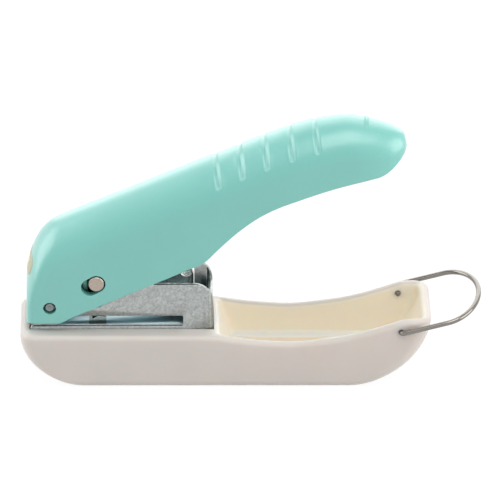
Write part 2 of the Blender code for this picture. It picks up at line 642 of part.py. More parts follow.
def crest_curve(steps=12):
    """The handle's crest as two rows, X and Z, read from a smooth curve through its shares."""
    shares = np.array(CREST_SHARES)
    steps_along = np.diff(shares, axis=0) * (HANDLE_LENGTH, HANDLE_RISE)
    travel = np.concatenate(([0], np.cumsum(np.hypot(*steps_along.T))))
    fine = np.linspace(0, travel[-1], steps * len(shares))
    across = smooth_value(np.column_stack((travel, shares[:, 0])), fine)
    up = smooth_value(np.column_stack((travel, shares[:, 1])), fine)
    crest_x = HANDLE_FRONT_X + np.maximum.accumulate(across) * HANDLE_LENGTH
    return crest_x, HANDLE_SILL_Z + up * HANDLE_RISE


def handle_place(share):
    """X at a share of the handle's length."""
    return HANDLE_FRONT_X + share * HANDLE_LENGTH


def sill_height(x):
    """Height of the handle's lower edge at a place along it."""
    share = (x - HANDLE_FRONT_X) / HANDLE_LENGTH
    return HANDLE_SILL_Z + HANDLE_RISE * smooth_value(SILL_SHARES, share)


def handle_half_width(x, inset, radius):
    """Half width of the handle at a place, less an inset, with front corners of a radius."""
    share = (x - HANDLE_FRONT_X) / HANDLE_LENGTH
    width = HANDLE_HALF_WIDTH * smooth_value(WIDTH_SHARES, share) - inset
    depth = np.clip(radius - (x - HANDLE_FRONT_X - inset), 0, radius)
    return width - radius * rounded(depth, radius)


def arch_half(x, top_z, low_z, half_width, most_rise, steps):
    """Near half of an arch-shaped section, from its lower middle over the side to its crest."""
    rise = min(most_rise, HANDLE_ARCH_SHARE * (top_z - low_z))
    spring_z = top_z - rise
    half = [(x, 0, low_z), (x, -half_width, low_z), (x, -half_width, (low_z + spring_z) / 2)]
    for turn in np.linspace(0, math.pi / 2, steps + 1):
        half.append((x, -half_width * math.cos(turn), spring_z + rise * math.sin(turn)))
    return half


def groove_depth(x, from_crest):
    """Depth of the grip grooves at a place along the crest and an angle down the side."""
    offsets = np.abs(x - handle_place(np.array(GROOVE_SHARES))) / GROOVE_HALF_WIDTH
    across = 0.5 + 0.5 * math.cos(math.pi * min(offsets.min(), 1))
    fade = (GROOVE_END_ANGLE - from_crest) / (GROOVE_END_ANGLE - GROOVE_FADE_ANGLE)
    return GROOVE_DEPTH * across * min(max(fade, 0), 1)


def handle_stations():
    """Places along the handle where its outer form is cut into sections."""
    crest_x, crest_z = crest_curve()
    front = handle_place(FRONT_CURVE_SHARE)
    travel = np.concatenate(([0], np.cumsum(np.hypot(np.diff(crest_x), np.diff(crest_z)))))
    head = crest_x[np.searchsorted(travel, np.linspace(0, np.interp(front, crest_x, travel), 11))]
    middle = np.linspace(front, handle_place(GROOVE_SHARES[0]) - GROOVE_HALF_WIDTH, 9)
    grooves = []
    for share in GROOVE_SHARES:
        for part in (-1.0, -0.5, 0.0, 0.5, 1.0):
            grooves.append(handle_place(share) + part * GROOVE_HALF_WIDTH)
    start = np.interp(grooves[-1], crest_x, travel)
    tail = np.interp(np.linspace(start, travel[-1], 16), travel, crest_x)
    places = np.concatenate((head, middle, grooves, tail))
    return handle_place(np.unique(np.round((places - HANDLE_FRONT_X) / HANDLE_LENGTH, 6)))


def handle_outer(arch_steps=12):
    """The handle's outer form as a solid, with its grip grooves."""
    crest_x, crest_z = crest_curve()
    first, last = (handle_place(GROOVE_SHARES[i]) for i in (0, -1))
    halves = []
    for x in handle_stations():
        top_z = float(np.interp(x, crest_x, crest_z))
        half_width = float(handle_half_width(x, 0, HANDLE_CORNER_RADIUS))
        half = arch_half(x, top_z, float(sill_height(x)), half_width, half_width, arch_steps)
        lean = GROOVE_LEAN_SHARE if first - OVERRUN - GROOVE_HALF_WIDTH < x < last + 2 * OVERRUN else 0
        shaped = []
        for _, y, z in half:
            down = min(max((top_z - z) / half_width, 0), 1)
            shift = lean * half_width * down if y < 0 else 0
            shift *= (z - half[0][2]) / (top_z - half[0][2])
            lift = float(np.interp(x + shift, crest_x, crest_z)) - top_z
            angle = math.acos(1 - down)
            depth = groove_depth(x, angle) if y < 0 or z > half[0][2] else 0
            low_lift = float(sill_height(x + shift) - sill_height(x))
            share = (z - half[0][2]) / (top_z - half[0][2])
            shaped.append((
                x + shift,
                y + depth * math.sin(angle) if y < 0 else 0,
                z + lift * share + low_lift * (1 - share) - depth * math.cos(angle),
            ))
        halves.append(shaped)
    return mirrored_loft("handle", halves)


def hollow_tool(name, start_x, end_x, strip=None, stations=8, arch_steps=8, front_bias=1.0):
    """Part of the handle's hollow between two places, one wall inside its outer form.

    With a strip depth, the tool only clears a strip of that depth along the lower edge, and
    leaves the ribs above it with nearly flat lower edges.
    """
    crest_x, crest_z = crest_curve()
    spread_x = crest_x + np.arange(len(crest_x)) * HANDLE_LENGTH * TINY_SHARE
    slopes = np.gradient(crest_z, spread_x)
    halves = []
    for x in start_x + (end_x - start_x) * np.linspace(0, 1, stations) ** front_bias:
        slope = float(np.clip(np.interp(x, crest_x, slopes), -STEEPEST_SLOPE, STEEPEST_SLOPE))
        top_z = float(np.interp(x, crest_x, crest_z)) - HANDLE_WALL * math.hypot(1, slope)
        bottom_z = float(sill_height(x)) - OVERRUN
        half_width = float(handle_half_width(x, HANDLE_WALL, HANDLE_INNER_CORNER_RADIUS))
        rise = half_width
        if strip is not None:
            top_z = min(top_z, bottom_z + OVERRUN + strip)
            rise = RIB_EDGE_RISE
        halves.append(arch_half(x, top_z, bottom_z, half_width, rise, arch_steps))
    return mirrored_loft(name, halves)


def radial_slot(name, radius):
    """Tool for the handle's pin slot, which runs towards the pivot as the pin goes down."""
    low_run = math.hypot(PUNCH_X - PIVOT_X, PIN_Z - PUNCH_STROKE - PIVOT_Z)
    high_run = math.hypot(PUNCH_X - PIVOT_X, PIN_Z - PIVOT_Z)
    outline = arc(high_run, 0, radius, -90, 90, 2 * ARC_STEPS)
    outline += arc(low_run, 0, radius, 90, 270, 2 * ARC_STEPS)
    tilt = math.atan2(PIN_Z - PIVOT_Z, PUNCH_X - PIVOT_X)
    along, up = math.cos(tilt), math.sin(tilt)
    turned_outline = [(PIVOT_X + u * along - v * up, PIVOT_Z + u * up + v * along) for u, v in outline]
    reach = HANDLE_HALF_WIDTH + OVERRUN
    return prism(name, turned_outline, "Y", -reach, reach)


def catch_tool():
    """Small moulded ridge across the crest, which keeps the bail's loop from slipping off."""
    crest_x, crest_z = crest_curve()
    x = handle_place(CATCH_SHARE)
    top_z = float(np.interp(x, crest_x, crest_z))
    width = float(handle_half_width(x, 0, HANDLE_CORNER_RADIUS))
    halves = []
    top = CATCH_TOP_SHARE
    for part, rise_share in ((-1.0, 0.0), (-top, 1.0), (top, 1.0), (1.0, 0.0)):
        low = top_z - CATCH_HEIGHT - HANDLE_WALL / 2
        turn_end = math.asin(CATCH_HALF_WIDTH / width)
        half = [(x + part * CATCH_HALF_LENGTH, 0, low)]
        half.append((x + part * CATCH_HALF_LENGTH, -width * math.sin(turn_end), low))
        for turn in np.linspace(turn_end, 0, CORNER_STEPS + 1):
            radius = width + CATCH_HEIGHT * rise_share * (1 - (turn / turn_end) ** 2)
            y = -radius * math.sin(turn)
            half.append((x + part * CATCH_HALF_LENGTH, y, top_z - width + radius * math.cos(turn)))
        halves.append(half)
    return mirrored_loft("handle_catch_tool", halves)


def build_handle(finish):
    """Moulded lever: a hollow shell, open below, stiffened by cross ribs under its crest."""
    handle = handle_outer()
    inner_front = HANDLE_FRONT_X + HANDLE_WALL
    inner_end = handle_place(1.0) - HANDLE_TIP_WALL
    walls = [SPRING_RIB_X] + [handle_place(share) for share in RIB_SHARES]
    edges = [inner_front] + walls + [inner_end]
    half_rib = RIB_THICKNESS / 2
    for i, (start, end) in enumerate(zip(edges, edges[1:])):
        low = start + (half_rib if i else 0)
        high = end - (half_rib if i < len(walls) else 0)
        stations, bias = (8, 1.0) if i else (16, 1.8)
        name = f"handle_cell_tool_{i + 1}"
        combine(handle, hollow_tool(name, low, high, None, stations, 8, bias))
    spring_rib_low = SPRING_Z + SPRING_LEG_RISE + SPRING_WIRE / 2 + REST_GAP
    low_front = SPRING_RIB_X - RIB_THICKNESS
    low_rear = SPRING_RIB_X + RIB_THICKNESS
    depth = spring_rib_low - float(sill_height(SPRING_RIB_X))
    combine(handle, hollow_tool("handle_spring_rib_cut_tool", low_front, low_rear, depth, 3))
    rear_start = handle_place(RIB_SHARES[0]) - RIB_THICKNESS
    rear_end = handle_place(RIB_SHARES[-1]) + RIB_THICKNESS
    combine(handle, hollow_tool("handle_rib_cut_tool", rear_start, rear_end, RIB_CUT_BACK, 24, 4))
    hole_radius = PIVOT_PIN_RADIUS + PIVOT_HOLE_GAP
    reach = HANDLE_HALF_WIDTH + OVERRUN
    profile = [(hole_radius, -reach), (hole_radius, reach)]
    combine(handle, turned("handle_pivot_hole_tool", profile, "Y", (PIVOT_X, 0, PIVOT_Z)))
    combine(handle, radial_slot("handle_pin_slot_tool", CROSS_PIN_RADIUS + SLOT_SIDE_GAP))
    combine(handle, catch_tool(), "UNION")
    handle.data.materials.append(finish)
    move_origin(handle, PIVOT_X, 0, PIVOT_Z)
    return handle


def spring_near_y():
    """Y of the spring's near end turn and of the leg that stands in the guide plate."""
    return -SPRING_PITCH * SPRING_TURNS / 2


def spring_path():
    """Centre line of the spring: lower leg, coil about Y, and the leg up to the handle's rib."""
    near_y = spring_near_y()
    leg_turn = math.atan2(SPRING_LEG_RISE, -SPRING_LEG_RUN) - math.pi / 2
    whole_turns = SPRING_TURNS + leg_turn / (2 * math.pi)
    count = round(whole_turns * SPRING_STEPS)
    leg_foot = THROAT_TOP_Z - SPRING_TAIL
    points = [(SPRING_X + SPRING_COIL_RADIUS, near_y, leg_foot)]
    points.append((SPRING_X + SPRING_COIL_RADIUS, near_y, (leg_foot + SPRING_Z) / 2))
    for i in range(count + 1):
        turn = 2 * math.pi * whole_turns * i / count
        y = near_y + SPRING_PITCH * SPRING_TURNS * i / count
        across, up = SPRING_COIL_RADIUS * math.cos(turn), SPRING_COIL_RADIUS * math.sin(turn)
        points.append((SPRING_X + across, y, SPRING_Z + up))
    start = points[-1]
    end = (SPRING_X - SPRING_LEG_RUN, start[1], SPRING_Z + SPRING_LEG_RISE)
    points.append(tuple((a + b) / 2 for a, b in zip(start, end)))
    points.append(end)
    return points


def report_least_gap(points, wire, skip):
    """Prints the least gap of a tube to itself, measured between the points of its centre line."""
    line = np.array(points)
    fine = np.concatenate([np.linspace(a, b, 5)[:-1] for a, b in zip(line, line[1:])] + [line[-1:]])
    travel = np.concatenate(([0], np.cumsum(np.linalg.norm(np.diff(fine, axis=0), axis=1))))
    apart = np.linalg.norm(fine[:, None] - fine[None, :], axis=2)
    far_along = np.abs(travel[:, None] - travel[None, :]) > skip
    print(f"return_spring: least gap to itself {1000 * (apart[far_along].min() - wire):.2f} mm")


def tube(name, points, wire, resolution):
    """A round wire along a row of points, with closed ends."""
    curve = bpy.data.curves.new(name, "CURVE")
    curve.dimensions = "3D"
    curve.bevel_depth = wire / 2
    curve.bevel_resolution = resolution
    curve.use_fill_caps = True
    line = curve.splines.new("POLY")
    line.points.add(len(points) - 1)
    for point, place in zip(line.points, points):
        point.co = (*place, 1.0)
    return link_object(name, curve)


def build_return_spring(finish):
    """Torsion spring that opens the handle: one leg in the guide plate, one under a rib."""
    points = spring_path()
    report_least_gap(points, SPRING_WIRE, math.pi * SPRING_COIL_RADIUS)
    spring = tube("return_spring", points, SPRING_WIRE, 1)
    spring.data.materials.append(finish)
    return spring


def bail_path(loop_steps=24, bend_steps=4):
    """Centre line of the bail in its own plane: X out along the legs, Y across, hinge at X 0."""
    near_y = -TRAY_WIDTH / 2 - BAIL_NEAR_GAP - BAIL_WIRE / 2
    far_y = TRAY_WIDTH / 2 + BAIL_FAR_GAP + BAIL_WIRE / 2
    end_y = TRAY_WIDTH / 2 - TRAY_WALL - BAIL_END_PROUD
    bend = BAIL_BEND_RADIUS
    points = [(0, -end_y)]
    points += [(bend - u, v) for u, v in arc(0, near_y + bend, bend, 0, -90, bend_steps)]
    middle, half = (near_y + far_y) / 2, (far_y - near_y) / 2
    for turn in np.linspace(-math.pi / 2, math.pi / 2, loop_steps + 1):
        reach = BAIL_STRAIGHT + (BAIL_REACH - BAIL_STRAIGHT) * math.cos(turn)
        points.append((reach, middle + half * math.sin(turn)))
    points += [(bend - u, v) for u, v in arc(0, far_y - bend, bend, 90, 0, bend_steps)]
    points.append((0, end_y))
    return [(x, y, 0) for x, y in points]


def build_bail(finish):
    """Bent wire loop that swings up over the closed handle and hooks behind its ridge."""
    bail = tube("bail", bail_path(), BAIL_WIRE, 2)
    bail.data.materials.append(finish)
    bail.location = (BAIL_X, 0, BAIL_Z)
    bail.rotation_euler = (0, -BAIL_REST_ANGLE, 0)
    return bail


def main():
    """Builds every piece where it stands with the handle open."""
    clear_scene()
    build_tray(make_material("white_plastic", "E9E4DC", 0.45, 0.0))
    build_frame(make_material("zinc_plated_sheet", "B4BBBA", 0.38, 1.0))
    build_die_plate(make_material("zinc_plated_die", "A3AEB0", 0.32, 1.0))
    build_guide_plate(make_material("zinc_plated_guide", "A9B1B2", 0.36, 1.0))
    build_star_punch(make_material("hardened_steel", "8F9496", 0.30, 1.0))
    build_cross_pin(make_material("plated_drive_pin", "C9BDB2", 0.25, 1.0))
    build_pivot_pin(make_material("plated_pivot_pin", "9EA1A0", 0.30, 1.0))
    build_handle(make_material("teal_plastic", "86CFC4", 0.38, 0.0))
    build_return_spring(make_material("spring_wire", "C6CCCB", 0.25, 1.0))
    build_bail(make_material("plated_bail_wire", "C3BDB6", 0.22, 1.0))


main()
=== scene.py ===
"""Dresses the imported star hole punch: finer pieces, materials, a pale floor, soft light, camera.

Metres, +Z up. +X runs from the pivot to the free end of the handle, +Y away from the side
with the visible pin faces. The origin is the centre of the tray's flat underside.
"""

import math

import bmesh
import bpy
import numpy as np
from bpy.props import FloatProperty, FloatVectorProperty, PointerProperty
from bpy.types import Operator, Panel, PropertyGroup
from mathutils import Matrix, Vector


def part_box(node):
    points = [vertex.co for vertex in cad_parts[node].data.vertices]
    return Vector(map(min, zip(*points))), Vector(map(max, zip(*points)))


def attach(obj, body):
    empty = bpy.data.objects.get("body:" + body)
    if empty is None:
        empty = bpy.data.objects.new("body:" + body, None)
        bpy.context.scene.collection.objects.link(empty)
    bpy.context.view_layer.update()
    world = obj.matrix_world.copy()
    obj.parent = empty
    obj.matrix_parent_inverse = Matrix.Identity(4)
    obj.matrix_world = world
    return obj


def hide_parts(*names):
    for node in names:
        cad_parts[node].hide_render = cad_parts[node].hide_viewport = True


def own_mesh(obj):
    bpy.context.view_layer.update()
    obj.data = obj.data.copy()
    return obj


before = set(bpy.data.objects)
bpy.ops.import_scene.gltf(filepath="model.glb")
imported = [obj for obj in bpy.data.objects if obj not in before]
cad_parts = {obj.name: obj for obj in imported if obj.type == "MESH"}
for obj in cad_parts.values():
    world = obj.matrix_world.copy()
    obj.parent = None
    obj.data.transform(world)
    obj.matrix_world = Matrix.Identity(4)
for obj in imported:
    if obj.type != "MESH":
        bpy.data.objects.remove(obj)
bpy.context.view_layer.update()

bl_info = {
    "name": "Star hole punch",
    "version": (1, 0, 0),
    "blender": (4, 5, 0),
    "location": "3D View > Sidebar > Star punch",
    "description": "Builds the pieces of a hand-held star hole punch on its packed frame",
    "category": "Add Mesh",
}

TRAY_LOW, TRAY_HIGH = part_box("tray")
FRAME_LOW, FRAME_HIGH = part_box("frame")
DIE_LOW, DIE_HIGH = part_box("die_plate")
GUIDE_LOW, GUIDE_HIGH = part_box("guide_plate")
HANDLE_LOW, HANDLE_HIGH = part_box("handle")
PUNCH_LOW, PUNCH_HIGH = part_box("star_punch")
CROSS_LOW, CROSS_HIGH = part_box("cross_pin")
PIVOT_LOW, PIVOT_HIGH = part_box("pivot_pin")
CROSS_PIN = (CROSS_LOW + CROSS_HIGH) / 2
CROSS_RADIUS = (CROSS_HIGH.x - CROSS_LOW.x) / 2
PIVOT = (PIVOT_LOW + PIVOT_HIGH) / 2
PIVOT_RADIUS = (PIVOT_HIGH.x - PIVOT_LOW.x) / 2
MM = 0.001
FIT_GAP = 0.3 * MM
OVERRUN = 1.0 * MM
LEAST_RADIUS = 0.3 * MM
# The closest that two sections or two places of a slope may stand
FINE_STEP = 0.05 * MM


# Small helpers for colours, curves and meshes

def linear(colour_hex):
    """Turns an sRGB colour written as six hex digits into linear red, green and blue."""
    parts = [int(colour_hex[i:i + 2], 16) / 255 for i in (0, 2, 4)]
    return tuple(p / 12.92 if p <= 0.04045 else ((p + 0.055) / 1.055) ** 2.4 for p in parts)


def arc(centre_u, centre_v, radius, start, end, steps):
    """Rows (u, v) = centre + radius (cos t, sin t), with t in equal steps between two angles in degrees."""
    turns = np.radians(np.linspace(start, end, steps + 1))
    return np.column_stack((centre_u + radius * np.cos(turns), centre_v + radius * np.sin(turns)))


def smooth_value(points, at):
    """Cubic Hermite curve through points (place, value), flat where two values are the same."""
    places, values = np.array(points, dtype=float).T
    slopes = np.gradient(values, places)
    flat = np.isclose(np.diff(values), 0)
    slopes[:-1][flat] = 0
    slopes[1:][flat] = 0
    i = np.clip(np.searchsorted(places, at, side="right") - 1, 0, len(places) - 2)
    span = places[i + 1] - places[i]
    t = np.clip((at - places[i]) / span, 0, 1)
    a, b, c, d = 2 * t**3 - 3 * t**2 + 1, t**3 - 2 * t**2 + t, 3 * t**2 - 2 * t**3, t**3 - t**2
    return a * values[i] + b * span * slopes[i] + c * values[i + 1] + d * span * slopes[i + 1]


def rounded(depth, radius):
    """How far a quarter circle draws in below its start: 1 - sqrt(1 - (depth / radius)^2)."""
    share = np.clip(depth / radius, 0, 1)
    return 1 - np.sqrt(1 - share**2)


def new_object(name, points, faces):
    """Puts points and faces in a mesh, turns its faces outward and links it at the origin."""
    mesh = bpy.data.meshes.new(name)
    mesh.from_pydata(np.asarray(points, dtype=float).tolist(), [], faces)
    mesh.validate()
    bm = bmesh.new()
    bm.from_mesh(mesh)
    bmesh.ops.recalc_face_normals(bm, faces=bm.faces)
    bm.to_mesh(mesh)
    bm.free()
    made = bpy.data.objects.new(name, mesh)
    bpy.context.scene.collection.objects.link(made)
    return made


def loft(name, rings, mirrored=False):
    """Skins closed rings of equal count, given as an array (ring, point, xyz), and caps both ends.

    Face (i, j) joins points j and j + 1 of rings i and i + 1, where j wraps round. Rings that
    mirror each other across Y, with point j opposite point count - j, are capped by strips
    from side to side, which follow an end that isn't flat.
    """
    rings = np.asarray(rings, dtype=float)
    levels, count = rings.shape[:2]
    corner = np.arange(levels - 1)[:, None] * count + np.arange(count)[None, :]
    beside = np.arange(levels - 1)[:, None] * count + (np.arange(count)[None, :] + 1) % count
    quads = np.stack((corner, beside, beside + count, corner + count), axis=-1).reshape(-1, 4)
    near = np.arange(count) if not mirrored else np.arange(1, count // 2 - 1)
    if mirrored:
        strips = np.stack((near, near + 1, count - near - 1, count - near), axis=-1).tolist()
        cap = strips + [[count - 1, 0, 1], [count // 2 - 1, count // 2, count // 2 + 1]]
    else:
        cap = [near.tolist()]
    last = (levels - 1) * count
    caps = [face[::-1] for face in cap] + [[last + i for i in face] for face in cap]
    return new_object(name, rings.reshape(-1, 3), quads.tolist() + caps)


def prism(name, outline, axis, low, high):
    """Carries a closed outline (u, v) straight from low to high along X, Y or Z."""
    outline = np.asarray(outline, dtype=float)
    order = {"X": (2, 0, 1), "Y": (0, 2, 1), "Z": (0, 1, 2)}[axis]
    rings = [np.column_stack((outline, np.full(len(outline), depth)))[:, order] for depth in (low, high)]
    return loft(name, rings)


def block(name, low, high):
    """A box between two corners."""
    return prism(name, [(low[0], low[1]), (high[0], low[1]), (high[0], high[1]), (low[0], high[1])],
                 "Z", low[2], high[2])


def turned(name, profile, axis, centre, segments=64):
    """Revolves rows (radius, height): x = r cos t, y = r sin t, z = h, then lays z along the axis."""
    profile = np.asarray(profile, dtype=float)
    turns = np.linspace(0, 2 * np.pi, segments, endpoint=False)
    across = profile[:, :1] * np.cos(turns)
    up = profile[:, :1] * np.sin(turns)
    along = np.repeat(profile[:, 1:], segments, axis=1)
    order = {"Z": (across, up, along), "Y": (across, along, -up), "X": (along, across, up)}[axis]
    return loft(name, np.stack(order, axis=-1) + np.array(centre))


def wire(name, path, radius, side, facets=16, end_round=0.25):
    """A round wire: ring k = P(k) + r (cos a N + sin a B), where T is the path's direction.

    N is a fixed side vector less its part along T, B = T x N, and both ends are rounded
    by end_round of the radius.
    """
    path = np.asarray(path, dtype=float)
    tangents = np.gradient(path, axis=0)
    tangents /= np.linalg.norm(tangents, axis=1)[:, None]
    scale = np.ones(len(path))
    round_turns = np.radians(np.linspace(0, 80, 5))
    draw_in = 1 - end_round * (1 - np.cos(round_turns))
    reach = end_round * radius * np.sin(round_turns)
    head = path[0] - tangents[0] * reach[1:, None]
    foot = path[-1] + tangents[-1] * reach[1:, None]
    path = np.concatenate((head[::-1], path, foot))
    tangents = np.concatenate((np.repeat(tangents[:1], 4, 0), tangents, np.repeat(tangents[-1:], 4, 0)))
    scale = np.concatenate((draw_in[:0:-1], scale, draw_in[1:]))
    side = np.array(side, dtype=float)
    normal = side - (tangents @ side)[:, None] * tangents
    normal /= np.linalg.norm(normal, axis=1)[:, None]
    other = np.cross(tangents, normal)
    turns = np.linspace(0, 2 * np.pi, facets, endpoint=False)
    swing = np.cos(turns)[None, :, None] * normal[:, None] + np.sin(turns)[None, :, None] * other[:, None]
    return loft(name, path[:, None] + radius * scale[:, None, None] * swing)


def shape_with(piece, tools, operation="DIFFERENCE", edge=0.0):
    """Cuts, joins or clips a piece with tool solids, rounds its sharp edges, and keeps the result."""
    for tool in tools:
        change = piece.modifiers.new(tool.name, "BOOLEAN")
        change.operation = operation
        change.solver = "EXACT"
        change.object = tool
    if edge:
        rounding = piece.modifiers.new("edge", "BEVEL")
        rounding.width = edge
        rounding.segments = 2
        rounding.limit_method = "ANGLE"
        rounding.angle_limit = math.radians(40)
        rounding.use_clamp_overlap = False
        rounding.harden_normals = True
    bpy.context.view_layer.update()
    shaped = bpy.data.meshes.new_from_object(piece.evaluated_get(bpy.context.evaluated_depsgraph_get()))
    piece.modifiers.clear()
    plain = piece.data
    piece.data = shaped
    bpy.data.meshes.remove(plain)
    for tool in tools:
        mesh = tool.data
        bpy.data.objects.remove(tool)
        bpy.data.meshes.remove(mesh)
    shaped.name = piece.name
    return piece


def finish_piece(piece, material, body, replaced=(), crease=35):
    """Shades a piece smooth but for its sharp edges, gives it its material and body, and hides the parts it
    replaces.
    """
    if not len(piece.data.polygons):
        raise RuntimeError(f"{piece.name} came out empty")
    piece.data.shade_smooth()
    if crease:
        piece.data.set_sharp_from_angle(angle=math.radians(crease))
    piece.data.materials.clear()
    piece.data.materials.append(material)
    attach(piece, body)
    if replaced:
        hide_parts(*replaced)
    return piece


# Sizes and colours that a user would change

def length(name, description, value):
    """A length property with its default."""
    return FloatProperty(name=name, description=description, default=value, unit="LENGTH", precision=5)


def angle(name, description, degrees):
    """An angle property with its default in degrees."""
    return FloatProperty(name=name, description=description, default=math.radians(degrees), subtype="ANGLE")


def strength(name, description, value):
    """A plain number that isn't negative, with its default."""
    return FloatProperty(name=name, description=description, default=value, min=0)


def colour(name, description, colour_hex):
    """A colour property with its default written as sRGB hex."""
    return FloatVectorProperty(name=name, description=description, default=linear(colour_hex),
                               subtype="COLOR", size=3, min=0, max=1)


class TraySizes(PropertyGroup):
    """Sizes of the chip tray."""

    wall: length("Wall", "Thickness of the side walls", 3.0 * MM)
    floor: length("Floor", "Thickness of the floor", 2.4 * MM)
    bottom_radius: length("Bottom radius", "Radius of the long lower edges", 3.0 * MM)
    corner_radius: length("Corner radius", "Radius of the upright corners", 5.2 * MM)
    nose_run: length("Nose run", "Length of the curved nose", 20.5 * MM)
    nose_rise: length("Nose rise", "Height of the curved nose", 17.0 * MM)
    tail_run: length("Tail run", "Length of the curved tail", 27.0 * MM)
    tail_rise: length("Tail rise", "Height of the curved tail", 25.0 * MM)
    rim_front: length("Front rim", "Height of the rim at the front", 18.3 * MM)
    rim_waist: length("Waist rim", "Height of the rim at its lowest place", 15.8 * MM)
    rim_outer_radius: length("Outer rim radius", "Radius of the rim's outer edge", 1.6 * MM)
    rim_inner_radius: length("Inner rim radius", "Radius of the rim's inner edge", 1.35 * MM)
    ledge: length("Ledge", "Height of the two long ledges", 6.4 * MM)
    ledge_width: length("Ledge width", "How far the ledges stand in from the walls", 3.6 * MM)
    cavity_radius: length("Cavity radius", "Radius of the cavity's corners", 2.0 * MM)
    partition: length("Partition", "Thickness of the partition's top", 1.2 * MM)
    partition_run: length("Partition run", "Run of the partition's sloped face", 4.5 * MM)
    channel_width: length("Chip channel", "Width of the channel under the frame", 10.4 * MM)
    channel_start: length("Channel start", "Where the chip channel starts behind the nose", 16.0 * MM)
    hole_radius: length("Bail hole", "Radius of the holes for the bail", 0.95 * MM)


class FrameSizes(PropertyGroup):
    """Sizes of the folded frame, the die, the guide and the star."""

    sheet: length("Sheet", "Thickness of the sheet", 1.5 * MM)
    bend_radius: length("Bend", "Outer radius of the two bends", 1.9 * MM)
    rear_radius: length("Rear corner", "Radius of the side plates' rear corners", 6.0 * MM)
    chamfer_run: length("Chamfer run", "Length of the lower front chamfer", 7.1 * MM)
    chamfer_rise: length("Chamfer rise", "Height of the lower front chamfer", 6.6 * MM)
    jaw_radius: length("Jaw corner", "Radius of the lower jaw's tip", 1.0 * MM)
    plate_rise: length("Plate rise", "Height of the plates' top above the die", 14.65 * MM)
    rear_drop: length("Rear wall drop", "How far the rear wall stands below the plates' top", 6.2 * MM)
    throat_end_radius: length("Throat end", "Radius at the closed end of the paper throat", 0.6 * MM)
    throat_rear: length("Throat wall", "From the closed end of the throat to the rear wall", 9.4 * MM)
    nose_radius: length("Nose radius", "Radius of the plates about the pivot", 3.4 * MM)
    hump_radius: length("Hump radius", "Radius of the plates over the cross pin", 4.6 * MM)
    stroke: length("Stroke", "Travel of the punch", 7.0 * MM)
    edge: length("Sheared edge", "Rounding of the sheet's edges", 0.14 * MM)
    guide_edge: length("Guide's edge", "Rounding of the guide's edges", 0.08 * MM)
    tab_start: length("Tab place", "From the pivot pin to the guide's side tabs", 3.7 * MM)
    tab_run: length("Tab", "Length of the guide's side tabs", 4.0 * MM)
    rear_tab: length("Rear tab", "Half width of the guide's rear tab", 3.3 * MM)
    star: length("Star", "Outer radius of the punched star", 3.0 * MM)


class PinSizes(PropertyGroup):
    """Sizes of the punch's body and the two pins."""

    body_drop: length("Body", "How far the punch's body reaches below the cross pin", 3.6 * MM)
    body_edge: length("Body's edge", "Rounding of the punch's body", 0.5 * MM)
    cross_edge: length("Cross pin's edge", "Rounding of the cross pin's ends", 0.45 * MM)
    cross_crown: length("Crown", "How far the cross pin's faces are crowned", 0.12 * MM)
    pivot_edge: length("Pivot pin's edge", "Rounding of the pivot pin's ends", 0.35 * MM)
    dimple: length("Dimple", "Depth of the dimple in the pivot pin's faces", 0.25 * MM)


class HandleSizes(PropertyGroup):
    """Sizes of the lever handle."""

    wall: length("Wall", "Thickness of the shell", 2.5 * MM)
    corner_radius: length("Front corner", "Radius of the front's upright corners", 2.6 * MM)
    inner_radius: length("Inner corner", "Radius of the hollow's front corners", 2.0 * MM)
    lip_radius: length("Lip", "Radius of the shell's lower outer edge", 0.5 * MM)
    tip_wall: length("Tip wall", "Solid length at the tip", 4.0 * MM)
    groove_width: length("Groove width", "Half width of a grip groove", 1.0 * MM)
    groove_depth: length("Groove depth", "Depth of a grip groove", 0.5 * MM)
    catch_height: length("Ridge height", "How far the bail's ridge stands proud", 0.7 * MM)
    rib: length("Rib", "Thickness of the cross ribs", 1.5 * MM)
    rib_cut: length("Rib cut", "How far the ribs stand back from the lower edge", 4.5 * MM)
    hollow_lip: length("Hollow's lip", "Rounding of the hollow's lower edge", 0.05 * MM)
    rib_edge: length("Rib edge", "Rise of the arch in the ribs' lower edges", 1.0 * MM)
    lean_lead: length("Lean lead", "How far before the first groove the grooves start to lean", 4.0 * MM)
    lean_trail: length("Lean trail", "How far behind the last groove the lean ends", 5.0 * MM)
    lean_fade: length("Lean fade", "Over which run the lean comes in and goes out", 3.0 * MM)
    badge_z: length("Badge place", "Height of the badge's middle", 38.2 * MM)
    badge_width: length("Badge width", "Half width of the badge", 7.3 * MM)
    badge_height: length("Badge height", "Half height of the badge", 2.9 * MM)
    badge_star: length("Badge star", "Outer radius of the badge's star", 2.2 * MM)
    badge_sink: length("Badge seat", "How far the badge's back lies under the surface", 0.10 * MM)
    badge_film: length("Badge film", "Thickness of the badge's film", 0.25 * MM)
    star_lift: length("Star seat", "Height of the star's back over the surface", 0.10 * MM)
    star_film: length("Star film", "Thickness of the star's film", 0.12 * MM)
    catch_run: length("Ridge run", "Half length of the bail's ridge along the handle", 0.8 * MM)
    catch_reach: length("Ridge reach", "Half width of the bail's ridge", 4.2 * MM)
    pivot_gap: length("Pivot gap", "Clearance about the pivot pin", 0.6 * MM)
    slot_gap: length("Slot gap", "Clearance beside the cross pin", 0.4 * MM)
    spring_rib_low: length("Spring rib", "Height of the lower edge of the spring's rib", 50.3 * MM)


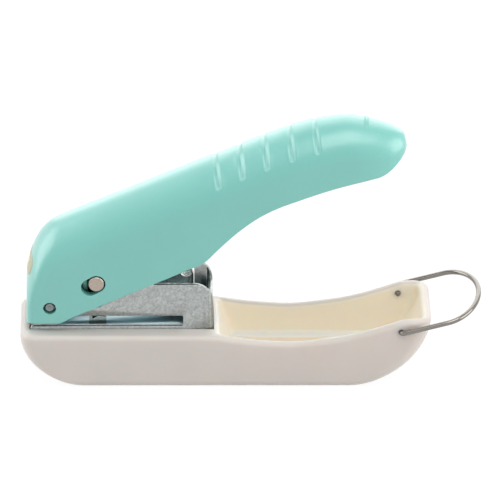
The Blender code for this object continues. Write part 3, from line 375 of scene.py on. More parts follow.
class WireSizes(PropertyGroup):
    """Sizes of the return spring and the bail."""

    spring_wire: length("Spring wire", "Diameter of the spring's wire", 1.0 * MM)
    spring_radius: length("Coil radius", "Radius of the spring's coil", 2.15 * MM)
    spring_pitch: length("Coil pitch", "Distance between turns", 1.6 * MM)
    spring_x: length("Spring place", "Distance of the coil's axis from the centre along X", -12.7 * MM)
    spring_z: length("Spring height", "Height of the coil's axis", 35.5 * MM)
    leg_run: length("Leg run", "Run of the spring's upper leg", 13.3 * MM)
    leg_rise: length("Leg rise", "Rise of the spring's upper leg", 14.0 * MM)
    spring_foot: length("Spring foot", "How far the lower leg reaches below the guide", 0.9 * MM)
    bail_wire: length("Bail wire", "Diameter of the bail's wire", 1.6 * MM)
    bail_x: length("Bail place", "Distance of the bail's hinge from the centre along X", 55.0 * MM)
    bail_z: length("Bail height", "Height of the bail's hinge", 20.0 * MM)
    bail_straight: length("Bail straight", "Length of the bail's straight legs", 15.0 * MM)
    bail_reach: length("Bail reach", "Reach of the bail's loop", 25.9 * MM)
    bail_bend: length("Bail bend", "Radius of the bends at the bail's ends", 1.3 * MM)
    bail_near: length("Near gap", "From the tray's near side to the bail", 0.4 * MM)
    bail_far: length("Far gap", "From the tray's far side to the bail", 2.5 * MM)
    bail_proud: length("Bail ends", "How far the bail's ends stand inside the tray's walls", 0.4 * MM)
    bail_tip: angle("Bail angle", "How far the bail is tipped up at rest", 15.2)


class Finishes(PropertyGroup):
    """Colours of the materials."""

    tray: colour("Tray", "Colour of the tray's outer skin", "E0D9D4")
    # Painted light: the inner walls are coloured warmer and paler than the outer skin, standing in for light
    # that bounces between them and passes through them
    painted_inner_glow: colour("Chip space", "Colour of the inner walls, where light passes through", "FAEFE1")
    # Painted light: the up-facing tops of the ledges are coloured paler and cooler than the tray's own
    # colour, as they look where light falls on them
    ledge: colour("Ledge", "Colour of the ledges' tops, cooler than the walls", "FCFBF5")
    handle: colour("Handle", "Colour of the handle's moulded plastic", "76CBC1")
    zinc: colour("Zinc", "Colour of the frame's plating", "B9BCBA")
    zinc_dark: colour("Dull zinc", "Colour of the duller patches in the plating", "949897")
    # Painted shade: dark teal for the plating about the pin slot, which lies in the dark inside the handle
    painted_shade: colour("Painted shade", "Colour of the oiled plating about the pin slot", "5F8781")
    # Partly painted reflection: the die's real zinc plating is tinted blue for the teal of the handle that
    # it mirrors
    die: colour("Die", "Colour of the die's plating", "B2CCD2")
    # Painted reflection: a dark band across the die about the star hole stands in for the punch and its hole
    # mirrored in the die
    punch_reflection: colour("Painted reflection", "Colour of the painted dark band about the star hole", "7A8F8D")
    steel: colour("Punch", "Colour of the hardened punch", "8F9496")
    pin: colour("Cross pin", "Colour of the nickel-plated cross pin", "B2A59A")
    rivet: colour("Pivot pin", "Colour of the zinc-plated pivot pin", "858B8A")
    wire: colour("Wire", "Colour of the bright drawn wire", "8B8680")
    spring: colour("Spring", "Colour of the zinc-plated spring wire", "DDE2E0")
    badge: colour("Badge", "Colour of the badge on the handle's front", "C2C0A2")
    star: colour("Star", "Colour of the badge's star", "F1EBD8")


class StageSizes(PropertyGroup):
    """Camera and light."""

    azimuth: angle("Azimuth", "Camera's turn about the object", -1.3)
    elevation: angle("Elevation", "Camera's angle above the floor", 26.8)
    roll: angle("Roll", "Camera's turn about its own line of sight", 0.58)
    distance: length("Distance", "From the camera to the point it looks at", 2.0)
    lens: FloatProperty(name="Lens", description="Focal length", default=456.55, unit="CAMERA")
    target: FloatVectorProperty(name="Target", description="Point that the camera looks at",
                                default=(7.44 * MM, 0.0, 41.52 * MM), subtype="TRANSLATION", size=3)
    sky: strength("Sky", "Strength of the soft light from all round", 0.32)
    key: strength("Key", "Power in watts of the large lamp above the front", 3.6)
    back: strength("Back", "Power in watts of the lamp behind", 6.5)
    left: strength("Left", "Power in watts of the lamp on the left", 6.0)
    right: strength("Right", "Power in watts of the lamp on the right", 6.0)
    floor: strength("Floor", "Paleness of the floor, from 0 to 1", 0.80)


# Materials

def add_node(tree, kind, settings, links):
    """Adds a node, sets its properties (lower case) and inputs, and links its inputs from sockets."""
    node = tree.nodes.new(kind)
    for key, value in settings.items():
        if isinstance(key, str) and key[0].islower():
            setattr(node, key, value)
        else:
            node.inputs[key].default_value = value
    for key, source in links.items():
        tree.links.new(source, node.inputs[key])
    return node


def new_material(name):
    """An empty material, its node tree, its shader and the object's own coordinates."""
    made = bpy.data.materials.new(name)
    made.use_nodes = True
    tree = made.node_tree
    shader = tree.nodes["Principled BSDF"]
    place = add_node(tree, "ShaderNodeTexCoord", {}, {}).outputs["Object"]
    return made, tree, shader, place


def per(size):
    """Texture scale that gives features of a real size in metres."""
    return 1 / size


def shade(value, times):
    """A colour times a number."""
    return tuple(min(part * times, 1) for part in value)


def blended(tree, pattern, low, high, first, second):
    """Goes from a first colour to a second one as a pattern's value goes from low to high."""
    factor = add_node(tree, "ShaderNodeMapRange", {"From Min": low, "From Max": high},
                      {"Value": pattern}).outputs[0]
    return add_node(tree, "ShaderNodeMix", {"data_type": "RGBA", 6: (*first, 1), 7: (*second, 1)},
                    {0: factor}).outputs[2]


def cover(tree, shader, base, relief, strength, depth):
    """Gives the shader a colour and presses a pattern of a real depth into its surface."""
    tree.links.new(base, shader.inputs["Base Color"])
    bump = add_node(tree, "ShaderNodeBump", {"Strength": strength, "Distance": depth}, {"Height": relief})
    tree.links.new(bump.outputs["Normal"], shader.inputs["Normal"])


def moulded_plastic(name, base, roughness, scatter, reach, depth):
    """Moulded ABS: an even satin skin from a spark-eroded mould.

    It has faint flow clouds some 18 mm across, a grain of 0.35 mm that is drawn coarser than
    the real 0.1 mm so that it shows, and a little light scattered under the skin.
    """
    made, tree, shader, place = new_material(name)
    clouds = add_node(tree, "ShaderNodeTexNoise", {"Scale": per(18 * MM), "Detail": 2.0, "Roughness": 0.5},
                      {"Vector": place}).outputs[0]
    skin = blended(tree, clouds, 0.35, 0.65, base, shade(base, 0.97))
    grain = add_node(tree, "ShaderNodeTexNoise", {"Scale": per(0.35 * MM), "Detail": 3.0, "Roughness": 0.6},
                     {"Vector": place}).outputs[0]
    cover(tree, shader, skin, grain, 0.12, 0.02 * MM)
    satin = add_node(tree, "ShaderNodeMapRange", {
        "From Min": 0.3, "From Max": 0.7, "To Min": roughness - 0.05, "To Max": roughness + 0.05,
    }, {"Value": grain}).outputs[0]
    tree.links.new(satin, shader.inputs["Roughness"])
    shader.inputs["IOR"].default_value = 1.54
    shader.inputs["Subsurface Weight"].default_value = scatter
    shader.inputs["Subsurface Radius"].default_value = reach
    shader.inputs["Subsurface Scale"].default_value = depth
    return made


def within(tree, place, axis, centre, half, soft):
    """A mask that is 1 within half of a centre along one axis and fades to 0 over a soft length."""
    value = add_node(tree, "ShaderNodeSeparateXYZ", {}, {"Vector": place}).outputs[axis]
    off = add_node(tree, "ShaderNodeMath", {"operation": "SUBTRACT", 1: centre}, {0: value}).outputs[0]
    away = add_node(tree, "ShaderNodeMath", {"operation": "ABSOLUTE"}, {0: off}).outputs[0]
    return add_node(tree, "ShaderNodeMapRange", {
        "From Min": half, "From Max": half + soft, "To Min": 1.0, "To Max": 0.0,
    }, {"Value": away}).outputs[0]


def under_curve(tree, place, centre, run, top, rise):
    """A mask inside the tail's curve: (max(x - centre, 0) / run)^2 + ((top - z) / rise)^2 < 1."""
    parts = add_node(tree, "ShaderNodeSeparateXYZ", {}, {"Vector": place}).outputs
    past = parts["X"]
    for operation, value in (("SUBTRACT", centre), ("MAXIMUM", 0.0), ("DIVIDE", run)):
        past = add_node(tree, "ShaderNodeMath", {"operation": operation, 1: value}, {0: past}).outputs[0]
    deep = add_node(tree, "ShaderNodeMath", {"operation": "SUBTRACT", 0: top}, {1: parts["Z"]}).outputs[0]
    deep = add_node(tree, "ShaderNodeMath", {"operation": "DIVIDE", 1: rise}, {0: deep}).outputs[0]
    pair = add_node(tree, "ShaderNodeCombineXYZ", {}, {"X": past, "Y": deep}).outputs[0]
    reach = add_node(tree, "ShaderNodeVectorMath", {"operation": "LENGTH"}, {0: pair}).outputs["Value"]
    return add_node(tree, "ShaderNodeMapRange", {
        "From Min": 0.96, "From Max": 1.0, "To Min": 1.0, "To Max": 0.0,
    }, {"Value": reach}).outputs[0]


def recoloured(made, mask, base):
    """Lays a second colour over a material's own colour where a mask is 1."""
    tree = made.node_tree
    shader = tree.nodes["Principled BSDF"]
    own = shader.inputs["Base Color"].links[0].from_socket
    mix = add_node(tree, "ShaderNodeMix", {"data_type": "RGBA", 7: (*base, 1)}, {0: mask, 6: own})
    tree.links.new(mix.outputs[2], shader.inputs["Base Color"])
    return made


def plated_sheet(name, bright, dull, roughness):
    """Zinc-plated steel sheet: mottled crystals about 0.7 mm across, rolling streaks and fine scratches."""
    made, tree, shader, place = new_material(name)
    crystals = add_node(tree, "ShaderNodeTexNoise", {
        "Scale": per(0.7 * MM), "Detail": 4.0, "Roughness": 0.62, "Distortion": 0.6,
    }, {"Vector": place}).outputs[0]
    cells = add_node(tree, "ShaderNodeTexVoronoi", {"Scale": per(0.9 * MM), "Randomness": 1.0},
                     {"Vector": place}).outputs["Color"]
    cell_grey = add_node(tree, "ShaderNodeRGBToBW", {}, {"Color": cells}).outputs[0]
    mottle = add_node(tree, "ShaderNodeMath", {"operation": "MULTIPLY_ADD", 1: 0.22},
                      {0: cell_grey, 2: crystals}).outputs[0]
    long_way = add_node(tree, "ShaderNodeMapping", {
        "Rotation": (0.0, math.radians(14), 0.0), "Scale": (0.03, 1.0, 1.0),
    }, {"Vector": place}).outputs[0]
    lines = add_node(tree, "ShaderNodeTexNoise", {"Scale": per(0.22 * MM), "Detail": 2.0, "Roughness": 0.5},
                     {"Vector": long_way}).outputs[0]
    scratch = add_node(tree, "ShaderNodeMapRange", {"From Min": 0.64, "From Max": 0.70},
                       {"Value": lines}).outputs[0]
    faint = add_node(tree, "ShaderNodeMapRange", {"To Max": 0.35}, {"Value": scratch}).outputs[0]
    plating = blended(tree, mottle, 0.42, 0.80, dull, bright)
    scratched = add_node(tree, "ShaderNodeMix", {"data_type": "RGBA", 7: (*shade(bright, 1.25), 1)},
                         {0: faint, 6: plating}).outputs[2]
    relief = add_node(tree, "ShaderNodeMath", {"operation": "MULTIPLY_ADD", 1: -0.5},
                      {0: scratch, 2: mottle}).outputs[0]
    cover(tree, shader, scratched, relief, 0.5, 0.05 * MM)
    gloss = add_node(tree, "ShaderNodeMapRange", {
        "From Min": 0.35, "From Max": 0.85, "To Min": roughness + 0.10, "To Max": roughness - 0.05,
    }, {"Value": mottle}).outputs[0]
    tree.links.new(gloss, shader.inputs["Roughness"])
    shader.inputs["Metallic"].default_value = 1.0
    return made


def drawn_metal(name, base, roughness, stretch, grain):
    """Plated, drawn or ground steel: bright, with faint marks drawn out along one way and small pits."""
    made, tree, shader, place = new_material(name)
    drawn = add_node(tree, "ShaderNodeMapping", {"Scale": stretch}, {"Vector": place}).outputs[0]
    marks = add_node(tree, "ShaderNodeTexNoise", {"Scale": per(grain), "Detail": 3.0, "Roughness": 0.6},
                     {"Vector": drawn}).outputs[0]
    metal = blended(tree, marks, 0.3, 0.7, shade(base, 0.86), shade(base, 1.06))
    cover(tree, shader, metal, marks, 0.25, 0.015 * MM)
    gloss = add_node(tree, "ShaderNodeMapRange", {
        "From Min": 0.3, "From Max": 0.7, "To Min": roughness + 0.06, "To Max": roughness - 0.04,
    }, {"Value": marks}).outputs[0]
    tree.links.new(gloss, shader.inputs["Roughness"])
    shader.inputs["Metallic"].default_value = 1.0
    return made


def printed_film(name, base, roughness):
    """Printed polyester film: a thin satin label with a slight paper-like mottle."""
    made, tree, shader, place = new_material(name)
    mottle = add_node(tree, "ShaderNodeTexNoise", {"Scale": per(0.8 * MM), "Detail": 3.0, "Roughness": 0.6},
                      {"Vector": place}).outputs[0]
    film = blended(tree, mottle, 0.3, 0.7, shade(base, 0.93), base)
    cover(tree, shader, film, mottle, 0.1, 0.02 * MM)
    shader.inputs["Roughness"].default_value = roughness
    return made


# Tray

# Each pair is a share of the tray's length and a share of the way up from the rim's waist to its end
RIM_DIP_SHARES = ((0.0, 1.0), (0.438, 1.0), (0.465, 0.97), (0.500, 0.76), (0.530, 0.50), (0.600, 0.14))
RIM_RISE_SHARES = (
    (0.655, 0.0), (0.700, 0.05), (0.735, 0.125), (0.808, 0.33), (0.885, 0.71), (0.930, 0.96),
    (0.955, 1.0), (1.0, 1.0),
)
# Share of the front rim's height below which the tray's rings lie level
MID_HEIGHT_SHARE = 0.55


def rim_height(x, sizes):
    """Height of the rim along X: a smooth curve down from the front to the waist and up to the tail."""
    place = (x - TRAY_LOW.x) / (TRAY_HIGH.x - TRAY_LOW.x)
    waist = sizes.rim_waist
    dip = [(share, waist + part * (sizes.rim_front - waist)) for share, part in RIM_DIP_SHARES]
    rise = [(share, waist + part * (TRAY_HIGH.z - waist)) for share, part in RIM_RISE_SHARES]
    return smooth_value(dip + rise, place)


def tray_ends(front_z, tail_z, wall, sizes):
    """Where nose and tail stand at two heights: quarter ellipses run (1 - sqrt(1 - (depth / rise)^2))."""
    nose_run, tail_run = sizes.nose_run - wall, sizes.tail_run - wall
    front = TRAY_LOW.x + wall + nose_run * rounded(sizes.nose_rise - front_z, sizes.nose_rise - wall)
    tail = TRAY_HIGH.x - wall - tail_run * rounded(sizes.tail_rise - tail_z, sizes.tail_rise - wall)
    return front, tail


def plan_ring(front, tail, half_width, radius, stations, corner=10):
    """Closed plan (x, y): a rectangle whose corners are quarter circles, near half then far half."""
    radius = max(min(radius, half_width), LEAST_RADIUS)
    low = -half_width + radius
    head = arc(front + radius, low, radius, 180, 270, corner)
    foot = arc(tail - radius, low, radius, 270, 360, corner)
    along = np.linspace(0, 1, stations + 2)[1:-1]
    side_x = head[-1, 0] + along * (foot[0, 0] - head[-1, 0])
    side = np.column_stack((side_x, np.full(stations, -half_width)))
    near = np.concatenate(([(front, 0)], head, side, foot, [(tail, 0)]))
    return np.concatenate((near, near[-2:0:-1] * (1, -1)))


def at_height(plan, z):
    """Points x, y, z of a plan, at one height or at a height for each point."""
    return np.column_stack((plan, np.broadcast_to(z, len(plan))))


def tray_block(sizes, stations=72):
    """Outer form: plan rings whose ends follow the nose and tail curves and whose top follows the rim."""
    half_width = TRAY_HIGH.y
    mid = sizes.rim_front * MID_HEIGHT_SHARE
    rings = []
    for turn in np.linspace(0, np.pi / 2, 11):
        z = sizes.bottom_radius * (1 - math.cos(turn))
        inset = sizes.bottom_radius * (1 - math.sin(turn))
        ends = tray_ends(z, z, 0, sizes)
        plan = plan_ring(*ends, half_width - inset, sizes.corner_radius - inset, stations)
        rings.append(at_height(plan, z))
    for z in np.linspace(sizes.bottom_radius, mid, 9)[1:]:
        plan = plan_ring(*tray_ends(z, z, 0, sizes), half_width, sizes.corner_radius, stations)
        rings.append(at_height(plan, z))
    rim_foot = sizes.rim_outer_radius
    for share in np.linspace(0, 1, 13)[1:]:
        ends = [mid + share * (rim - rim_foot - mid) for rim in (sizes.rim_front, TRAY_HIGH.z)]
        plan = plan_ring(*tray_ends(*ends, 0, sizes), half_width, sizes.corner_radius, stations)
        rise = rim_height(plan[:, 0], sizes) - rim_foot - mid
        rings.append(at_height(plan, mid + share * rise))
    for turn in np.linspace(0, np.pi / 2, 9)[1:]:
        inset, drop = rim_foot * (1 - math.cos(turn)), rim_foot * (1 - math.sin(turn))
        front, tail = tray_ends(sizes.rim_front - drop, TRAY_HIGH.z - drop, 0, sizes)
        plan = plan_ring(front + inset, tail - inset, half_width - inset,
                         sizes.corner_radius - inset, stations)
        rings.append(at_height(plan, rim_height(plan[:, 0], sizes) - drop))
    return loft("moulded_tray", rings, True)


def cavity_tool(sizes, foot, stations=60):
    """Chip space: plan rings from the ledges to a rounded rim edge, with a sloped front face."""
    half_width = TRAY_HIGH.y - sizes.wall
    slope = sizes.partition_run / (sizes.rim_front - sizes.ledge)
    edge = sizes.rim_inner_radius
    rings = []
    for share in np.linspace(0, 1, 14):
        tail_z = sizes.ledge + share * (TRAY_HIGH.z - edge - sizes.ledge)
        front_z = sizes.ledge + share * (sizes.rim_front - edge - sizes.ledge)
        tail = tray_ends(front_z, tail_z, sizes.wall, sizes)[1]
        front = foot - slope * (front_z - sizes.ledge)
        plan = plan_ring(front, tail, half_width, sizes.cavity_radius, stations)
        rise = rim_height(plan[:, 0], sizes) - edge - sizes.ledge
        rings.append(at_height(plan, sizes.ledge + share * rise))
    front = foot - slope * (sizes.rim_front - sizes.ledge)
    tail = TRAY_HIGH.x - sizes.wall
    for turn in np.linspace(0, np.pi / 2, 7)[1:]:
        spread, drop = edge * (1 - math.cos(turn)), edge * (1 - math.sin(turn))
        plan = plan_ring(front, tail + spread, half_width + spread, sizes.cavity_radius + spread, stations)
        rings.append(at_height(plan, rim_height(plan[:, 0], sizes) - drop))
    rings.append(rings[-1] + (0, 0, OVERRUN))
    return loft("cavity_tool", rings, True)


def tail_channel_tool(sizes, foot):
    """The lower chip space between the two long ledges."""
    half_width = TRAY_HIGH.y - sizes.wall - sizes.ledge_width
    rings = []
    for z in np.linspace(sizes.floor, sizes.ledge + OVERRUN, 8):
        tail = tray_ends(z, z, sizes.floor, sizes)[1]
        plan = plan_ring(foot, tail, half_width, sizes.cavity_radius, 24)
        rings.append(at_height(plan, z))
    return loft("tail_channel_tool", rings, True)


def chamfered_side(front, low, high, rear, sizes):
    """Side outline (x, z) of a block whose lower front corner follows the frame's chamfer."""
    foot = FRAME_LOW.x + sizes.chamfer_run
    corner = FRAME_LOW.z + (foot - front) * sizes.chamfer_rise / sizes.chamfer_run
    return np.array([(foot, low), (rear, low), (rear, high), (front, high), (front, corner)])


def build_tray(scene):
    """White tray: outer form less chip space, channels, the frame's pocket and the bail's holes."""
    sizes = scene.punch_tray
    front, rear = FRAME_LOW.x - FIT_GAP, FRAME_HIGH.x + FIT_GAP
    foot = rear + sizes.partition + sizes.partition_run
    pocket = FRAME_HIGH.y + FIT_GAP
    outline = chamfered_side(front, sizes.ledge, TRAY_HIGH.z + OVERRUN, rear, scene.punch_frame)
    half = sizes.channel_width / 2
    reach = TRAY_HIGH.y + OVERRUN
    hole = [(sizes.hole_radius, -reach), (sizes.hole_radius, reach)]
    wires = scene.punch_wires
    tools = [
        prism("pocket_tool", outline, "Y", -pocket, pocket),
        cavity_tool(sizes, foot),
        tail_channel_tool(sizes, foot),
        block("chip_channel_tool", (TRAY_LOW.x + sizes.channel_start, -half, sizes.floor),
              (foot + OVERRUN, half, sizes.ledge + FIT_GAP)),
        turned("bail_hole_tool", hole, "Y", (wires.bail_x, 0, wires.bail_z), 32),
    ]
    return shape_with(tray_block(sizes), tools)


# Frame, die and guide

def frame_side(sizes):
    """Side outline (x, z) of the plates: chamfered foot, rear corner arc, pin hump, nose and throat."""
    die_top = DIE_HIGH.z
    throat_top = GUIDE_LOW.z
    top = die_top + sizes.plate_rise
    rear, front = FRAME_HIGH.x, FRAME_LOW.x
    end = rear - sizes.throat_rear
    small, jaw, corner = sizes.throat_end_radius, sizes.jaw_radius, sizes.rear_radius
    return np.concatenate((
        [(front + sizes.chamfer_run, FRAME_LOW.z), (rear, FRAME_LOW.z)],
        arc(rear - corner, top - corner, corner, 0, 90, 18),
        [(CROSS_PIN.x + sizes.hump_radius, top)],
        arc(CROSS_PIN.x, CROSS_PIN.z, sizes.hump_radius, 0, 180, 36),
        [(CROSS_PIN.x - sizes.hump_radius, top)],
        arc(PIVOT.x, PIVOT.z, sizes.nose_radius, 105, 180, 12),
        [(PIVOT.x - sizes.nose_radius, throat_top)],
        arc(end - small, throat_top - small, small, 90, 0, 6),
        arc(end - small, die_top + small, small, 0, -90, 6),
        arc(front + jaw, die_top - jaw, jaw, 90, 180, 8),
        [(front, FRAME_LOW.z + sizes.chamfer_rise)],
    ))


def frame_plan(sizes):
    """Plan (x, y) of the folded strip: two plates and a rear wall joined by round bends."""
    outer, inner = sizes.bend_radius, sizes.bend_radius - sizes.sheet
    half, front, rear = FRAME_HIGH.y, FRAME_LOW.x - OVERRUN, FRAME_HIGH.x
    return np.concatenate((
        [(front, -half)], arc(rear - outer, -half + outer, outer, -90, 0, 12),
        arc(rear - outer, half - outer, outer, 0, 90, 12), [(front, half), (front, half - sizes.sheet)],
        arc(rear - outer, half - outer, inner, 90, 0, 8),
        arc(rear - outer, -half + outer, inner, 0, -90, 8), [(front, -half + sizes.sheet)],
    ))


def slot_tool(name, start, end, radius, reach):
    """Tool for a slot through Y whose centre line runs between two places (x, z)."""
    start, end = np.array(start), np.array(end)
    tilt = math.degrees(math.atan2(*(end - start)[::-1]))
    outline = np.concatenate((arc(*end, radius, tilt - 90, tilt + 90, 24),
                              arc(*start, radius, tilt + 90, tilt + 270, 24)))
    return prism(name, outline, "Y", -reach, reach)


def build_frame(scene):
    """Folded frame: the strip's plan carried up, clipped by the side outline, and pierced."""
    sizes = scene.punch_frame
    reach = FRAME_HIGH.y + OVERRUN
    pivot_radius = PIVOT_RADIUS + FIT_GAP
    wall = FRAME_HIGH.y - sizes.bend_radius
    plate_top = DIE_HIGH.z + sizes.plate_rise
    tab = PIVOT.x + sizes.tab_start
    tab_top = GUIDE_HIGH.z + FIT_GAP
    window = sizes.rear_tab + FIT_GAP
    inside, outside = FRAME_HIGH.x - sizes.sheet - OVERRUN, FRAME_HIGH.x + OVERRUN
    piece = prism("folded_frame", frame_plan(sizes), "Z", FRAME_LOW.z - OVERRUN, FRAME_HIGH.z + OVERRUN)
    shape_with(piece, [prism("side_tool", frame_side(sizes), "Y", -reach, reach)], "INTERSECT")
    tools = [
        block("rear_top_tool", (inside, -wall, plate_top - sizes.rear_drop),
              (outside, wall, FRAME_HIGH.z + OVERRUN)),
        slot_tool("pin_slot_tool", (CROSS_PIN.x, CROSS_PIN.z - sizes.stroke), (CROSS_PIN.x, CROSS_PIN.z),
                  CROSS_RADIUS + FIT_GAP, reach),
        turned("pivot_hole_tool", [(pivot_radius, -reach), (pivot_radius, reach)], "Y", PIVOT, 48),
        block("tab_notch_tool", (tab - FIT_GAP, -reach, GUIDE_LOW.z - OVERRUN),
              (tab + sizes.tab_run + FIT_GAP, reach, tab_top)),
        block("tab_window_tool", (inside, -window, GUIDE_LOW.z - FIT_GAP), (outside, window, tab_top)),
    ]
    return shape_with(piece, tools, edge=sizes.edge)


STAR_INNER_SHARE = 0.45


def star_outline(centre_x, outer, grow, first=np.pi):
    """Five-pointed star (x, y): ten corners, by turns at an outer and an inner radius, grown by a gap."""
    inner, step = STAR_INNER_SHARE * outer, np.pi / 5
    side = math.sqrt(outer**2 + inner**2 - 2 * outer * inner * math.cos(step))
    apothem = outer * inner * math.sin(step) / side
    radii = np.where(np.arange(10) % 2, inner, outer) * (apothem + grow) / apothem
    turns = first + np.arange(10) * step
    return np.column_stack((centre_x + radii * np.cos(turns), radii * np.sin(turns)))


def build_die(scene):
    """Die: an inverted channel with the star hole, whose flanges stand on the tray's ledges."""
    sizes = scene.punch_frame
    outline = chamfered_side(DIE_LOW.x, DIE_LOW.z, DIE_HIGH.z, DIE_HIGH.x, sizes)
    piece = prism("die_channel", outline, "Y", DIE_LOW.y, DIE_HIGH.y)
    inner = DIE_HIGH.y - sizes.sheet
    tools = [
        block("die_hollow_tool", (DIE_LOW.x - OVERRUN, -inner, DIE_LOW.z - OVERRUN),
              (DIE_HIGH.x + OVERRUN, inner, DIE_HIGH.z - sizes.sheet)),
        prism("die_star_tool", star_outline(CROSS_PIN.x, sizes.star, FIT_GAP), "Z",
              DIE_HIGH.z - sizes.sheet - OVERRUN, DIE_HIGH.z + OVERRUN),
    ]
    return shape_with(piece, tools, edge=sizes.edge)


def build_guide(scene):
    """Guide above the throat: a plate with side tabs, a rear tab, the star hole and the spring's hole."""
    sizes, wires = scene.punch_frame, scene.punch_wires
    tab = PIVOT.x + sizes.tab_start
    tab_end = tab + sizes.tab_run
    half, full = DIE_HIGH.y, FRAME_HIGH.y
    rear = FRAME_HIGH.x - sizes.sheet - FIT_GAP
    near = np.array([(GUIDE_LOW.x, -half), (tab, -half), (tab, -full), (tab_end, -full), (tab_end, -half),
                     (rear, -half), (rear, -sizes.rear_tab), (FRAME_HIGH.x, -sizes.rear_tab)])
    outline = np.concatenate((near, near[::-1] * (1, -1)))
    piece = prism("guide_sheet", outline, "Z", GUIDE_LOW.z, GUIDE_HIGH.z)
    low, high = GUIDE_LOW.z - OVERRUN, GUIDE_HIGH.z + OVERRUN
    hole = wires.spring_wire / 2 + FIT_GAP
    tools = [
        prism("guide_star_tool", star_outline(CROSS_PIN.x, sizes.star, FIT_GAP), "Z", low, high),
        turned("spring_hole_tool", [(hole, low), (hole, high)], "Z",
               (wires.spring_x + wires.spring_radius, -SPRING_TURNS / 2 * wires.spring_pitch, 0), 24),
    ]
    return shape_with(piece, tools, edge=sizes.guide_edge)


# Punch and pins

def build_punch(scene):
    """Punch: a star shank under a turned body that is drilled for the cross pin."""
    sizes = scene.punch_pins
    radius = (PUNCH_HIGH.x - PUNCH_LOW.x) / 2
    body_low, top, small = CROSS_PIN.z - sizes.body_drop, PUNCH_HIGH.z, sizes.body_edge
    profile = np.concatenate((arc(radius - small, body_low + small, small, -90, 0, 4),
                              arc(radius - small, top - small, small, 0, 90, 4)))
    piece = turned("turned_punch", profile, "Z", (CROSS_PIN.x, 0, 0), 72)
    star = star_outline(CROSS_PIN.x, scene.punch_frame.star, 0)
    shape_with(piece, [prism("shank_tool", star, "Z", PUNCH_LOW.z, body_low + small)], "UNION")
    hole = CROSS_RADIUS + FIT_GAP
    reach = radius + OVERRUN
    return shape_with(piece, [turned("cross_hole_tool", [(hole, -reach), (hole, reach)], "Y",
                                     (CROSS_PIN.x, 0, CROSS_PIN.z), 48)])


PIN_MIDDLE_SHARE = 0.02
DIMPLE_SHARE = 0.45


def pin_rows(face, radius, shoulder, edge):
    """Profile (r, y) of a pin: a face from its middle out, a quarter circle and a side, mirrored below."""
    corner = arc(radius - edge, shoulder - edge, edge, 90, 0, 6)
    side = np.column_stack((np.full(5, radius), np.linspace(1, 0, 7)[1:-1] * (shoulder - edge)))
    upper = np.concatenate((face, corner, side))
    return np.concatenate((upper[::-1] * (1, -1), upper))[::-1]


def build_cross_pin(scene):
    """Cross pin just proud of the handle: a crowned face y = half - crown (r / inner)^2 at each end."""
    sizes, half = scene.punch_pins, CROSS_HIGH.y
    inner = CROSS_RADIUS - sizes.cross_edge
    r = np.linspace(PIN_MIDDLE_SHARE, 1, 8)[:-1] * inner
    face = np.column_stack((r, half - sizes.cross_crown * (r / inner) ** 2))
    rows = pin_rows(face, CROSS_RADIUS, half - sizes.cross_crown, sizes.cross_edge)
    return turned("cross_pin_turned", rows, "Y", CROSS_PIN, 72)


def build_pivot_pin(scene):
    """Pivot pin: a dimple from heading in each face, y = half - depth (1 - (r / end)^2)."""
    sizes, half = scene.punch_pins, PIVOT_HIGH.y
    r = np.linspace(PIN_MIDDLE_SHARE, 1, 6) * DIMPLE_SHARE * PIVOT_RADIUS
    face = np.column_stack((r, half - sizes.dimple * (1 - (r / r[-1]) ** 2)))
    return turned("pivot_pin_headed", pin_rows(face, PIVOT_RADIUS, half, sizes.pivot_edge), "Y", PIVOT, 48)


# Handle

# Each pair is a share of the handle's length, and a share of its rise or, for the width, of its half width
CREST_SHARES = (
    (0.0, 0.165), (0.0012, 0.198), (0.0058, 0.240), (0.0192, 0.324), (0.0377, 0.391), (0.069, 0.450),
    (0.109, 0.486), (0.200, 0.559), (0.292, 0.631), (0.383, 0.704), (0.474, 0.776), (0.531, 0.816),
    (0.591, 0.867), (0.658, 0.917), (0.725, 0.962), (0.792, 0.990), (0.848, 1.0), (0.900, 0.984),
    (0.938, 0.967), (0.975, 0.938), (0.990, 0.920), (0.9975, 0.890), (1.0, 0.868),
)
SILL_SHARES = (
    (0.0, 0.0), (0.080, 0.0), (0.095, 0.007), (0.113, 0.026), (0.143, 0.051), (0.190, 0.089),
    (0.268, 0.1545), (0.343, 0.215), (0.421, 0.281), (0.472, 0.327), (0.500, 0.380), (0.529, 0.434),
    (0.565, 0.494), (0.602, 0.546), (0.640, 0.588), (0.675, 0.618), (0.716, 0.6455), (0.748, 0.6665),
    (0.785, 0.6885), (0.822, 0.7075), (0.860, 0.724), (0.906, 0.740), (0.937, 0.752), (0.961, 0.778),
    (0.986, 0.822), (0.996, 0.844), (1.0, 0.857),
)
WIDTH_SHARES = (
    (0.0, 1.0), (0.650, 1.0), (0.736, 0.975), (0.820, 0.920), (0.887, 0.840), (0.937, 0.720),
    (0.971, 0.560), (0.990, 0.380), (0.9975, 0.220), (1.0, 0.100),
)
GROOVE_SHARES = (0.497, 0.560, 0.625, 0.691, 0.757)
CATCH_SHARE = 0.894
RIB_SHARES = (0.480, 0.640, 0.800)
FRONT_SHARE = 0.8
ARCH_SHARE = 0.72
LIP_SHARE = 0.3
LIP_SPARE = 0.2 * MM
TIP_SHORT = 0.4 * MM
HANDLE_LENGTH = HANDLE_HIGH.x - HANDLE_LOW.x - TIP_SHORT
# From the lowest place of the handle to the crest's highest, which is above the ridge for the bail
HANDLE_RISE = 66.7 * MM


def handle_x(share):
    """X at a share of the handle's length."""
    return HANDLE_LOW.x + share * HANDLE_LENGTH


